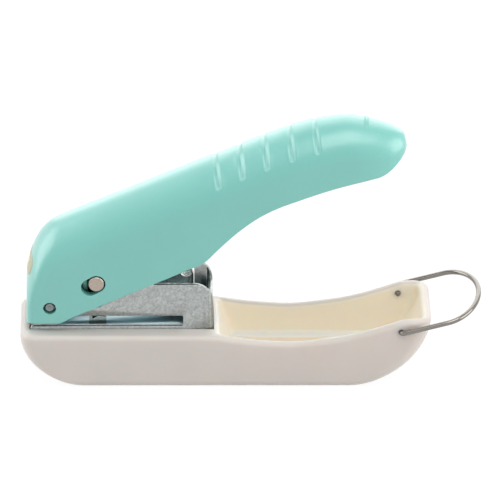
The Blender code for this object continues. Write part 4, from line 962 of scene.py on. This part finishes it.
def handle_curves():
    """Crest as x and z, each a Hermite curve in the length travelled through the crest's shares."""
    shares = np.array(CREST_SHARES)
    steps_along = np.diff(shares, axis=0) * (HANDLE_LENGTH, HANDLE_RISE)
    travel = np.concatenate(([0], np.cumsum(np.hypot(*steps_along.T))))
    fine = np.linspace(0, travel[-1], 40 * len(shares))
    crest_x = handle_x(np.maximum.accumulate(smooth_value(np.column_stack((travel, shares[:, 0])), fine)))
    crest_z = HANDLE_LOW.z + HANDLE_RISE * smooth_value(np.column_stack((travel, shares[:, 1])), fine)
    return crest_x, crest_z


def sill_z(x):
    """Height of the lower edge along X."""
    share = (x - HANDLE_LOW.x) / HANDLE_LENGTH
    return HANDLE_LOW.z + HANDLE_RISE * smooth_value(SILL_SHARES, share)


def half_width_at(x, inset, radius):
    """Half width along X, less an inset, with quarter-circle front corners."""
    share = (x - HANDLE_LOW.x) / HANDLE_LENGTH
    width = HANDLE_HIGH.y * smooth_value(WIDTH_SHARES, share) - inset
    depth = np.clip(radius - (x - HANDLE_LOW.x - inset), 0, radius)
    return width - radius * rounded(depth, radius)


def arch_sections(top, low, half_width, lip, side_steps, arch_steps, most_rise=math.inf):
    """Near halves of arch sections as arrays y, z (section, point).

    From the lower middle round a lip of quarter circles, up the straight side, then over the
    quarter ellipse y = -w cos t, z = top - h + h sin t, where h is the least of w, the most rise
    and a share of the height.
    """
    w, top, low = half_width[:, None], top[:, None], low[:, None]
    rise = np.minimum(np.minimum(w, most_rise), ARCH_SHARE * (top - low))
    lip = np.minimum(lip, LIP_SHARE * np.minimum(w, top - low - rise + LIP_SPARE))
    turns = np.radians(np.linspace(270, 180, 5))
    lip_y, lip_z = -w + lip + lip * np.cos(turns), low + lip + lip * np.sin(turns)
    side = np.linspace(0, 1, side_steps + 2)[1:-1]
    side_y = np.repeat(-w, side_steps, axis=1)
    side_z = low + lip + side * (top - rise - low - lip)
    arch = np.linspace(0, np.pi / 2, arch_steps + 1)
    y = np.concatenate((np.zeros_like(w), lip_y, side_y, -w * np.cos(arch)), axis=1)
    z = np.concatenate((low, lip_z, side_z, top - rise + rise * np.sin(arch)), axis=1)
    y[:, -1] = 0
    return y, z


def both_halves(x, y, z):
    """Closed rings from near halves: the far half is the near half with y turned round."""
    near = np.stack((np.broadcast_to(x, y.shape), y, z), axis=-1)
    return np.concatenate((near, near[:, -2:0:-1] * (1, -1, 1)), axis=1)


def handle_stations(sizes):
    """Places along X for the sections: even along the crest, closer at the grooves and the ridge."""
    crest_x, crest_z = handle_curves()
    travel = np.concatenate(([0], np.cumsum(np.hypot(np.diff(crest_x), np.diff(crest_z)))))
    even = np.interp(np.linspace(0, travel[-1], 150), travel, crest_x)
    front = HANDLE_LOW.x + sizes.corner_radius * (1 - np.cos(np.linspace(0, np.pi / 2, 24)))
    groove_reach, ridge_reach = 1.6 * sizes.groove_width, 1.125 * sizes.catch_run
    close = [handle_x(share) + np.linspace(-1, 1, 17) * groove_reach for share in GROOVE_SHARES]
    ridge = handle_x(CATCH_SHARE) + np.linspace(-1, 1, 11) * ridge_reach
    places = np.sort(np.concatenate((even, front, ridge, *close)))
    return places[np.concatenate(([True], np.diff(places) > FINE_STEP))]


def handle_block(sizes):
    """Outer form: arch sections along X, pushed in by the grip grooves and out by the bail's ridge.

    A groove is a capsule: d = hypot(x off the groove, arc length past its end) / half width, and
    its depth is D cos^2(pi d / 2) within d < 1, with a raised bead exp(-((d - place) / spread)^2)
    about it. The grooves lean: sections shift along X by a share of how far a point lies below
    the crest. The ridge is H (1 - (angle / end)^2) times a flat-topped bump along X.
    """
    lean, end, slope_share = 0.25, math.radians(60), 0.45
    bead_place, bead_spread, bead_height, bead_run = 1.3, 0.22, 0.12, 0.3
    crest_x, crest_z = handle_curves()
    x = handle_stations(sizes)
    top, low = np.interp(x, crest_x, crest_z), sill_z(x)
    width = half_width_at(x, 0, sizes.corner_radius)
    y, z = arch_sections(top, low, width, sizes.lip_radius, 10, 44)
    x, top, low, width = (part[:, None] for part in (x, top, low, width))
    first, last = handle_x(GROOVE_SHARES[0]), handle_x(GROOVE_SHARES[-1])
    fade_in = np.clip((x - first + sizes.lean_lead) / sizes.lean_fade, 0, 1)
    ease = fade_in * np.clip((last + sizes.lean_trail - x) / sizes.lean_fade, 0, 1)
    down = np.clip((top - z) / width, 0, 1)
    height = np.clip((z - low) / (top - low), 0, 1)
    shift = np.where(y < 0, lean * ease * width * down, 0) * height
    lift = np.interp(x + shift, crest_x, crest_z) - top
    low_lift = sill_z(x + shift) - low
    angle = np.arccos(np.clip(1 - down, 0, 1))
    past = np.maximum(angle - end, 0) * width
    depth = np.zeros_like(z)
    for share in GROOVE_SHARES:
        d = np.hypot(x - handle_x(share), past) / sizes.groove_width
        depth += np.where(d < 1, np.cos(np.pi * np.minimum(d, 1) / 2) ** 2, 0) * sizes.groove_depth
        bead = np.exp(-(((d - bead_place) / bead_spread) ** 2)) * (angle < end + bead_run)
        depth -= bead * bead_height * sizes.groove_depth
    catch_x = handle_x(CATCH_SHARE)
    catch_width = float(half_width_at(np.array(catch_x), 0, sizes.corner_radius))
    ridge_end = math.asin(sizes.catch_reach / catch_width)
    along = np.clip((1 - np.abs(x - catch_x) / sizes.catch_run) / slope_share, 0, 1)
    depth -= sizes.catch_height * along * np.clip(1 - (angle / ridge_end) ** 2, 0, 1)
    depth = np.where((y < 0) | (z > (top + low) / 2), depth, 0)
    new_z = z + lift * height + low_lift * (1 - height) - depth * np.cos(angle)
    new_y = np.where(y < 0, y + depth * np.sin(angle), 0)
    return loft("moulded_handle", both_halves(x + shift, new_y, new_z), True)


def hollow_tool(name, sizes, start, end, strip=None, count=14, bias=1.0):
    """Part of the hollow: arch sections one wall inside the outer form, or only a strip at its foot.

    Section k of n stands at start + (end - start) (k / (n - 1))^bias.
    """
    # A tiny step for each place keeps upright stretches of the crest from having no run at all
    tiny_share, steepest = 1e-8, 3
    crest_x, crest_z = handle_curves()
    spread = crest_x + np.arange(len(crest_x)) * HANDLE_LENGTH * tiny_share
    slopes = np.gradient(crest_z, spread)
    x = start + (end - start) * np.linspace(0, 1, count) ** bias
    slope = np.clip(np.interp(x, crest_x, slopes), -steepest, steepest)
    top = np.interp(x, crest_x, crest_z) - sizes.wall * np.hypot(1, slope)
    low = sill_z(x) - OVERRUN
    if strip is not None:
        top = np.minimum(top, low + OVERRUN + strip)
    width = half_width_at(x, sizes.wall, sizes.inner_radius)
    most_rise = math.inf if strip is None else sizes.rib_edge
    y, z = arch_sections(top, low, width, sizes.hollow_lip, 2, 16, most_rise)
    return loft(name, both_halves(x[:, None], y, z), True)


def build_handle(scene):
    """Lever shell: the outer form less five cells between cross ribs, the pivot hole and the pin slots."""
    sizes, stroke = scene.punch_handle, scene.punch_frame.stroke
    wires = scene.punch_wires
    walls = [wires.spring_x - wires.leg_run] + [handle_x(share) for share in RIB_SHARES]
    edges = [HANDLE_LOW.x + sizes.wall] + walls + [HANDLE_HIGH.x - sizes.tip_wall]
    half = sizes.rib / 2
    tools = []
    for i, (start, end) in enumerate(zip(edges, edges[1:])):
        low, high = start + (half if i else 0), end - (half if i < len(walls) else 0)
        # The first cell's sections are more, and closer towards the steep front
        count, bias = (14, 1.0) if i else (30, 1.8)
        tools.append(hollow_tool(f"cell_tool_{i + 1}", sizes, low, high, None, count, bias))
    depth = sizes.spring_rib_low - float(sill_z(walls[0]))
    tools.append(hollow_tool("spring_rib_tool", sizes, walls[0] - sizes.rib, walls[0] + sizes.rib, depth, 4))
    span = walls[1] - sizes.rib, walls[-1] + sizes.rib
    tools.append(hollow_tool("rib_tool", sizes, *span, sizes.rib_cut, 40))
    reach = HANDLE_HIGH.y + OVERRUN
    hole = PIVOT_RADIUS + sizes.pivot_gap
    tools.append(turned("pivot_hole_tool", [(hole, -reach), (hole, reach)], "Y", PIVOT, 48))
    high = np.array((CROSS_PIN.x, CROSS_PIN.z))
    centre = np.array((PIVOT.x, PIVOT.z))
    low_run = math.hypot(CROSS_PIN.x - PIVOT.x, CROSS_PIN.z - stroke - PIVOT.z)
    low = centre + (high - centre) * low_run / np.linalg.norm(high - centre)
    tools.append(slot_tool("pin_slot_tool", low, high, CROSS_RADIUS + sizes.slot_gap, reach))
    return shape_with(handle_block(sizes), tools)


def front_x(y, z, sizes):
    """X of the handle's front at places y, z.

    Where the section's arch has half width w, its top stands w (1 - sqrt(1 - (y / w)^2)) above
    z, and the crest curve gives the x of that top. As w depends on x, x is found by halving steps.
    """
    crest_x, crest_z = handle_curves()
    front = crest_z < HANDLE_LOW.z + FRONT_SHARE * HANDLE_RISE
    x = np.full(y.shape, HANDLE_LOW.x)
    halvings, widest_share = 60, 0.999
    for _ in range(halvings):
        width = half_width_at(x, 0, sizes.corner_radius)
        top = z + width * rounded(np.minimum(np.abs(y), widest_share * width), width)
        x = (x + np.interp(top, crest_z[front], crest_x[front])) / 2
    return x


def front_film(name, outline, centre_z, lift, thickness, sizes):
    """A thin film on the handle's front: scaled copies of a closed outline (y, z), raised off the surface.

    A point at y, z stands at front_x plus a height along the normal (-1, dx/dy, dx/dz). Rings run
    from the middle of the back to the rim, up its thickness and in to the middle of the face.
    """
    scales = np.array((0.02, 0.5, 1.0, 1.0, 0.97, 0.8, 0.6, 0.4, 0.2, 0.02))[:, None]
    heights = np.array((lift, lift, lift, lift + 0.6 * thickness) + (lift + thickness,) * 6)[:, None]
    y = scales * outline[:, 0]
    z = centre_z + scales * outline[:, 1]
    step = FINE_STEP
    across = (front_x(y + step, z, sizes) - front_x(y - step, z, sizes)) / (2 * step)
    up = (front_x(y, z + step, sizes) - front_x(y, z - step, sizes)) / (2 * step)
    normal = np.stack((-np.ones_like(y), across, up), axis=-1)
    normal /= np.linalg.norm(normal, axis=-1)[..., None]
    rings = np.stack((front_x(y, z, sizes), y, z), axis=-1) + heights[..., None] * normal
    return loft(name, rings)


def build_badge(scene):
    """Badge: a rounded film y = a |cos t|^0.6, z = b |sin t|^0.6 with the signs kept, and a star on it."""
    sizes = scene.punch_handle
    turns = np.linspace(0, 2 * np.pi, 72, endpoint=False)
    oval = np.column_stack((sizes.badge_width * np.sign(np.cos(turns)) * np.abs(np.cos(turns)) ** 0.6,
                            sizes.badge_height * np.sign(np.sin(turns)) * np.abs(np.sin(turns)) ** 0.6))
    film = front_film("badge_film", oval, sizes.badge_z, -sizes.badge_sink, sizes.badge_film, sizes)
    outline = star_outline(0.0, sizes.badge_star, 0.0, np.pi / 2)
    star = front_film("badge_star", outline, sizes.badge_z, sizes.star_lift, sizes.star_film, sizes)
    return film, star


# Spring and bail

SPRING_TURNS = 4


def build_spring(scene):
    """Return spring: x = X + R cos t, z = Z + R sin t, y growing evenly with t, and two straight legs."""
    sizes = scene.punch_wires
    near = -SPRING_TURNS / 2 * sizes.spring_pitch
    radius = sizes.spring_radius
    leg_turn = math.atan2(sizes.leg_rise, -sizes.leg_run) - math.pi / 2
    whole = SPRING_TURNS + leg_turn / (2 * math.pi)
    turns = np.linspace(0, 2 * np.pi * whole, 200)
    coil = np.column_stack((sizes.spring_x + radius * np.cos(turns),
                            np.linspace(near, -near, len(turns)), sizes.spring_z + radius * np.sin(turns)))
    foot = np.array((sizes.spring_x + radius, near, GUIDE_LOW.z - sizes.spring_foot))
    head = np.array((sizes.spring_x - sizes.leg_run, -near, sizes.spring_z + sizes.leg_rise))
    lower = foot + (coil[0] - foot) * np.linspace(0, 1, 24)[:-1, None]
    upper = coil[-1] + (head - coil[-1]) * np.linspace(0, 1, 28)[1:, None]
    path = np.concatenate((lower, coil, upper))
    return wire("spring_wire", path, sizes.spring_wire / 2, (0, 1, 0), 14)


def build_bail(scene):
    """Bail: legs bent out of the tray's holes, a straight run, then half an ellipse, tipped up at rest."""
    sizes = scene.punch_wires
    radius, bend = sizes.bail_wire / 2, sizes.bail_bend
    near = -TRAY_HIGH.y - sizes.bail_near - radius
    far = TRAY_HIGH.y + sizes.bail_far + radius
    end = TRAY_HIGH.y - scene.punch_tray.wall - sizes.bail_proud
    near_bend = arc(0, near + bend, bend, 0, -90, 10)
    far_bend = arc(0, far - bend, bend, 90, 0, 10)
    middle, half = (near + far) / 2, (far - near) / 2
    turns = np.linspace(-np.pi / 2, np.pi / 2, 72)
    loop = np.column_stack((sizes.bail_straight + (sizes.bail_reach - sizes.bail_straight) * np.cos(turns),
                            middle + half * np.sin(turns)))
    share = np.linspace(0, 1, 14)[1:-1, None]
    near_bend[:, 0] = bend - near_bend[:, 0]
    far_bend[:, 0] = bend - far_bend[:, 0]
    plan = np.concatenate((
        [(0, -end)], [(0, -end + 0.5 * (near_bend[0, 1] + end))], near_bend,
        near_bend[-1] + share * (loop[0] - near_bend[-1]), loop,
        loop[-1] + share * (far_bend[0] - loop[-1]), far_bend,
        [(0, end + 0.5 * (far_bend[-1, 1] - end))], [(0, end)],
    ))
    tip = sizes.bail_tip
    path = np.column_stack((sizes.bail_x + plan[:, 0] * math.cos(tip), plan[:, 1],
                            sizes.bail_z + plan[:, 0] * math.sin(tip)))
    return wire("bail_wire", path, radius, (-math.sin(tip), 0, math.cos(tip)), 20)


# Operators

class STARPUNCH_OT_tray(Operator):
    """Add the white chip tray"""

    bl_idname = "star_punch.tray"
    bl_label = "Chip tray"

    def execute(self, context):
        finish, sizes = context.scene.punch_finishes, context.scene.punch_tray
        made = moulded_plastic("moulded_abs_white", tuple(finish.tray), roughness=0.40, scatter=0.60,
                               reach=(1.0, 0.78, 0.55), depth=4.0 * MM)
        tree = made.node_tree
        place = tree.nodes["Texture Coordinate"].outputs["Object"]
        behind_frame, into_wall, side_fade, end_fade = 1.3 * MM, 0.05 * MM, 0.3 * MM, 1.0 * MM
        start, end = FRAME_HIGH.x + behind_frame, TRAY_HIGH.x
        # Painted light: the chip space's inner walls get a warmer, paler colour, standing in for light
        # bounced between them and passed through them
        across = within(tree, place, "Y", 0.0, TRAY_HIGH.y - sizes.wall + into_wall, side_fade)
        along = within(tree, place, "X", (start + end) / 2, (end - start) / 2, end_fade)
        half_wall = sizes.wall / 2
        curve = under_curve(tree, place, TRAY_HIGH.x - sizes.tail_run, sizes.tail_run - half_wall,
                            sizes.tail_rise, sizes.tail_rise - half_wall)
        inside = across
        for mask in (along, curve):
            inside = add_node(tree, "ShaderNodeMath", {"operation": "MULTIPLY"},
                              {0: inside, 1: mask}).outputs[0]
        recoloured(made, inside, tuple(finish.painted_inner_glow))
        # Painted light: a thin band at the ledges' height, their up-facing tops, is coloured paler and
        # cooler over the walls' painted warmth
        ledge_band = 0.2 * MM
        ledge = within(tree, place, "Z", sizes.ledge, ledge_band, side_fade)
        top = add_node(tree, "ShaderNodeMath", {"operation": "MULTIPLY"}, {0: inside, 1: ledge}).outputs[0]
        recoloured(made, top, tuple(finish.ledge))
        finish_piece(build_tray(context.scene), made, "base", ("tray",), crease=30)
        return {"FINISHED"}


class STARPUNCH_OT_frame(Operator):
    """Add the folded frame with the die and the guide"""

    bl_idname = "star_punch.frame"
    bl_label = "Frame, die and guide"

    def execute(self, context):
        scene, finish = context.scene, context.scene.punch_finishes
        zinc = plated_sheet("zinc_plated_steel_sheet", tuple(finish.zinc), tuple(finish.zinc_dark),
                            roughness=0.34)
        tree = zinc.node_tree
        place = tree.nodes["Texture Coordinate"].outputs["Object"]
        # Painted shade: the plating about the pin slot, in the dark inside the handle, is coloured dark teal
        shade_front, shade_down, shade_reach, shade_fade = 1.5 * MM, 0.5 * MM, 4.0 * MM, 1.0 * MM
        along = within(tree, place, "X", CROSS_PIN.x - shade_front, shade_reach, shade_fade)
        up = within(tree, place, "Z", CROSS_PIN.z - shade_down, shade_reach, shade_fade)
        shade_mask = add_node(tree, "ShaderNodeMath", {"operation": "MULTIPLY"}, {0: along, 1: up}).outputs[0]
        recoloured(zinc, shade_mask, tuple(finish.painted_shade))
        # The die's and the guide's plating is real zinc, tinted blue as a painted reflection of the teal
        # handle above it
        die = drawn_metal("blue_passivated_zinc", tuple(finish.die), roughness=0.45,
                          stretch=(0.05, 1.0, 1.0), grain=0.3 * MM)
        place = die.node_tree.nodes["Texture Coordinate"].outputs["Object"]
        # Painted reflection: the dark band about the star hole is the punch and its hole above, mirrored in
        # the die, painted in
        band_behind, band_reach, band_fade = 0.4 * MM, 2.6 * MM, 0.2 * MM
        band = within(die.node_tree, place, "X", CROSS_PIN.x + band_behind, band_reach, band_fade)
        recoloured(die, band, tuple(finish.punch_reflection))
        finish_piece(build_frame(scene), zinc, "base", ("frame",), crease=0)
        finish_piece(build_die(scene), die, "base", ("die_plate",), crease=0)
        finish_piece(build_guide(scene), die, "base", ("guide_plate",), crease=0)
        return {"FINISHED"}


class STARPUNCH_OT_punch(Operator):
    """Add the star punch"""

    bl_idname = "star_punch.punch"
    bl_label = "Star punch"

    def execute(self, context):
        base = tuple(context.scene.punch_finishes.steel)
        made = drawn_metal("ground_tool_steel", base, roughness=0.28,
                           stretch=(1.0, 1.0, 0.08), grain=0.25 * MM)
        finish_piece(build_punch(context.scene), made, "punch", ("star_punch",))
        return {"FINISHED"}


class STARPUNCH_OT_pins(Operator):
    """Add the cross pin and the pivot pin"""

    bl_idname = "star_punch.pins"
    bl_label = "Pins"

    def execute(self, context):
        scene, finish = context.scene, context.scene.punch_finishes
        nickel = drawn_metal("nickel_plated_pin", tuple(finish.pin), roughness=0.26,
                             stretch=(1.0, 0.1, 1.0), grain=0.35 * MM)
        zinc = drawn_metal("zinc_plated_rivet", tuple(finish.rivet), roughness=0.32,
                           stretch=(1.0, 0.1, 1.0), grain=0.4 * MM)
        finish_piece(build_cross_pin(scene), nickel, "punch", ("cross_pin",))
        finish_piece(build_pivot_pin(scene), zinc, "base", ("pivot_pin",))
        return {"FINISHED"}


class STARPUNCH_OT_handle(Operator):
    """Add the lever handle"""

    bl_idname = "star_punch.handle"
    bl_label = "Lever handle"

    def execute(self, context):
        base = tuple(context.scene.punch_finishes.handle)
        made = moulded_plastic("moulded_abs_mint", base, roughness=0.32, scatter=0.15,
                               reach=(0.45, 1.0, 0.9), depth=1.5 * MM)
        shader = made.node_tree.nodes["Principled BSDF"]
        shader.inputs["Specular IOR Level"].default_value = 0.9
        shader.inputs["Coat Weight"].default_value = 0.9
        shader.inputs["Coat Roughness"].default_value = 0.40
        finish_piece(build_handle(context.scene), made, "handle", ("handle",), crease=32)
        return {"FINISHED"}


class STARPUNCH_OT_badge(Operator):
    """Add the badge with its star"""

    bl_idname = "star_punch.badge"
    bl_label = "Badge"

    def execute(self, context):
        finish = context.scene.punch_finishes
        film, star = build_badge(context.scene)
        paper = printed_film("printed_badge_film", tuple(finish.badge), roughness=0.45)
        ink = printed_film("printed_badge_star", tuple(finish.star), roughness=0.40)
        finish_piece(film, paper, "handle")
        finish_piece(star, ink, "handle")
        return {"FINISHED"}


class STARPUNCH_OT_wires(Operator):
    """Add the return spring and the bail"""

    bl_idname = "star_punch.wires"
    bl_label = "Spring and bail"

    def execute(self, context):
        scene, finish = context.scene, context.scene.punch_finishes
        spring = drawn_metal("zinc_plated_spring_wire", tuple(finish.spring), roughness=0.15,
                             stretch=(1.0, 1.0, 1.0), grain=0.5 * MM)
        bail = drawn_metal("bright_drawn_wire", tuple(finish.wire), roughness=0.14,
                           stretch=(0.15, 1.0, 1.0), grain=0.3 * MM)
        piece = finish_piece(build_spring(scene), spring, "base", ("return_spring",),
                             crease=50)
        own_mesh(piece)
        finish_piece(build_bail(scene), bail, "bail", ("bail",), crease=50)
        return {"FINISHED"}


class STARPUNCH_OT_stage(Operator):
    """Add the floor, the light and the camera"""

    bl_idname = "star_punch.stage"
    bl_label = "Floor, light and camera"

    def execute(self, context):
        scene = context.scene
        build_stage(scene, scene.punch_stage)
        return {"FINISHED"}


def aimed(made, place, target):
    """Puts a lamp or camera at a place, turned towards a target."""
    made.location = place
    made.rotation_euler = (Vector(target) - Vector(place)).to_track_quat("-Z", "Y").to_euler()
    bpy.context.scene.collection.objects.link(made)
    return made


def soft_lamp(name, place, target, size, power, tint):
    """A square area lamp."""
    lamp = bpy.data.lights.new(name, "AREA")
    lamp.size = size
    lamp.energy = power
    lamp.color = tint
    return aimed(bpy.data.objects.new(name, lamp), place, target)


def seen_rays(tree):
    """1 for rays that show a surface, straight, mirrored or through glass, and 0 for rays of light."""
    path = add_node(tree, "ShaderNodeLightPath", {}, {}).outputs
    either = add_node(tree, "ShaderNodeMath", {"operation": "ADD", "use_clamp": True},
                      {0: path["Is Camera Ray"], 1: path["Is Glossy Ray"]}).outputs[0]
    return add_node(tree, "ShaderNodeMath", {"operation": "ADD", "use_clamp": True},
                    {0: either, 1: path["Is Transmission Ray"]}).outputs[0]


WHITE_LIGHT = (1.0, 1.0, 1.0)
WARM_LIGHT = (1.0, 0.99, 0.97)
# Each lamp's name, its place, the point it shines at, its side length and its tint
LAMPS = (
    ("key", (0.12, -0.42, 0.88), (0, 0, 0.03), 0.7, WARM_LIGHT),
    ("back", (0.10, 0.95, 0.55), (0, 0, 0.04), 1.3, WHITE_LIGHT),
    ("left", (-1.0, 0.20, 0.45), (-0.04, 0, 0.04), 1.0, WHITE_LIGHT),
    ("right", (1.0, -0.20, 0.30), (0, 0, 0.05), 0.9, WARM_LIGHT),
)


def build_stage(scene, sizes):
    """Pale floor that keeps the shadow, soft sky, four lamps, and the camera at the photograph's angle."""
    reach, thickness, shadow_grey, own_light = 2.0, 0.02, 0.11, 0.93
    floor = block("floor", (-reach, -reach, -thickness), (reach, reach, 0))
    made = bpy.data.materials.new("pale_floor")
    made.use_nodes = True
    tree = made.node_tree
    tree.nodes.clear()
    seen = seen_rays(tree)
    matt = add_node(tree, "ShaderNodeBsdfDiffuse", {"Color": (sizes.floor,) * 3 + (1,)}, {}).outputs[0]
    pale = add_node(tree, "ShaderNodeBsdfDiffuse", {"Color": (shadow_grey,) * 3 + (1,)}, {}).outputs[0]
    glow = add_node(tree, "ShaderNodeEmission", {"Color": (1, 1, 1, 1), "Strength": own_light},
                    {}).outputs[0]
    lit = add_node(tree, "ShaderNodeAddShader", {}, {0: pale, 1: glow}).outputs[0]
    both = add_node(tree, "ShaderNodeMixShader", {}, {0: seen, 1: matt, 2: lit}).outputs[0]
    add_node(tree, "ShaderNodeOutputMaterial", {}, {"Surface": both})
    floor.data.materials.append(made)

    world = bpy.data.worlds.new("soft_sky")
    world.use_nodes = True
    tree = world.node_tree
    tree.nodes.clear()
    level = add_node(tree, "ShaderNodeMapRange", {"To Min": sizes.sky}, {"Value": seen_rays(tree)})
    sky = add_node(tree, "ShaderNodeBackground", {"Color": (1, 1, 1, 1)},
                   {"Strength": level.outputs[0]}).outputs[0]
    add_node(tree, "ShaderNodeOutputWorld", {}, {"Surface": sky})
    scene.world = world

    for name, place, shines_at, side, tint in LAMPS:
        soft_lamp(name, place, shines_at, side, getattr(sizes, name), tint)

    target = Vector(sizes.target)
    away = Vector((math.sin(sizes.azimuth) * math.cos(sizes.elevation),
                   -math.cos(sizes.azimuth) * math.cos(sizes.elevation), math.sin(sizes.elevation)))
    lens = bpy.data.cameras.new("camera")
    lens.lens = sizes.lens
    lens.sensor_width = 36
    lens.clip_end = 10
    camera = aimed(bpy.data.objects.new("camera", lens), target + sizes.distance * away, target)
    camera.rotation_euler.rotate_axis("Z", sizes.roll)
    scene.camera = camera
    scene.view_settings.view_transform = "Standard"


class STARPUNCH_PT_pieces(Panel):
    """Lists the sizes, the colours and the pieces"""

    bl_idname = "STARPUNCH_PT_pieces"
    bl_label = "Star hole punch"
    bl_space_type = "VIEW_3D"
    bl_region_type = "UI"
    bl_category = "Star punch"

    def draw(self, context):
        for group in GROUPS:
            sizes = getattr(context.scene, group)
            column = self.layout.column(heading=group)
            for name in sizes.bl_rna.properties.keys():
                if name not in ("rna_type", "name"):
                    column.prop(sizes, name)
        for operator in OPERATORS:
            self.layout.operator(operator.bl_idname)


GROUPS = {
    "punch_tray": TraySizes,
    "punch_frame": FrameSizes,
    "punch_pins": PinSizes,
    "punch_handle": HandleSizes,
    "punch_wires": WireSizes,
    "punch_finishes": Finishes,
    "punch_stage": StageSizes,
}
OPERATORS = (
    STARPUNCH_OT_stage,
    STARPUNCH_OT_tray,
    STARPUNCH_OT_frame,
    STARPUNCH_OT_punch,
    STARPUNCH_OT_pins,
    STARPUNCH_OT_handle,
    STARPUNCH_OT_badge,
    STARPUNCH_OT_wires,
)


def register():
    """Registers the property groups, the operators and the panel."""
    for name, group in GROUPS.items():
        bpy.utils.register_class(group)
        setattr(bpy.types.Scene, name, PointerProperty(type=group))
    for operator in OPERATORS:
        bpy.utils.register_class(operator)
    bpy.utils.register_class(STARPUNCH_PT_pieces)


def unregister():
    """Takes everything out again, in the opposite order."""
    bpy.utils.unregister_class(STARPUNCH_PT_pieces)
    for operator in reversed(OPERATORS):
        bpy.utils.unregister_class(operator)
    for name, group in reversed(GROUPS.items()):
        delattr(bpy.types.Scene, name)
        bpy.utils.unregister_class(group)


def main():
    register()
    bpy.ops.star_punch.stage()
    bpy.ops.star_punch.tray()
    bpy.ops.star_punch.frame()
    bpy.ops.star_punch.punch()
    bpy.ops.star_punch.pins()
    bpy.ops.star_punch.handle()
    bpy.ops.star_punch.badge()
    bpy.ops.star_punch.wires()


if __name__ == "__main__":
    main()
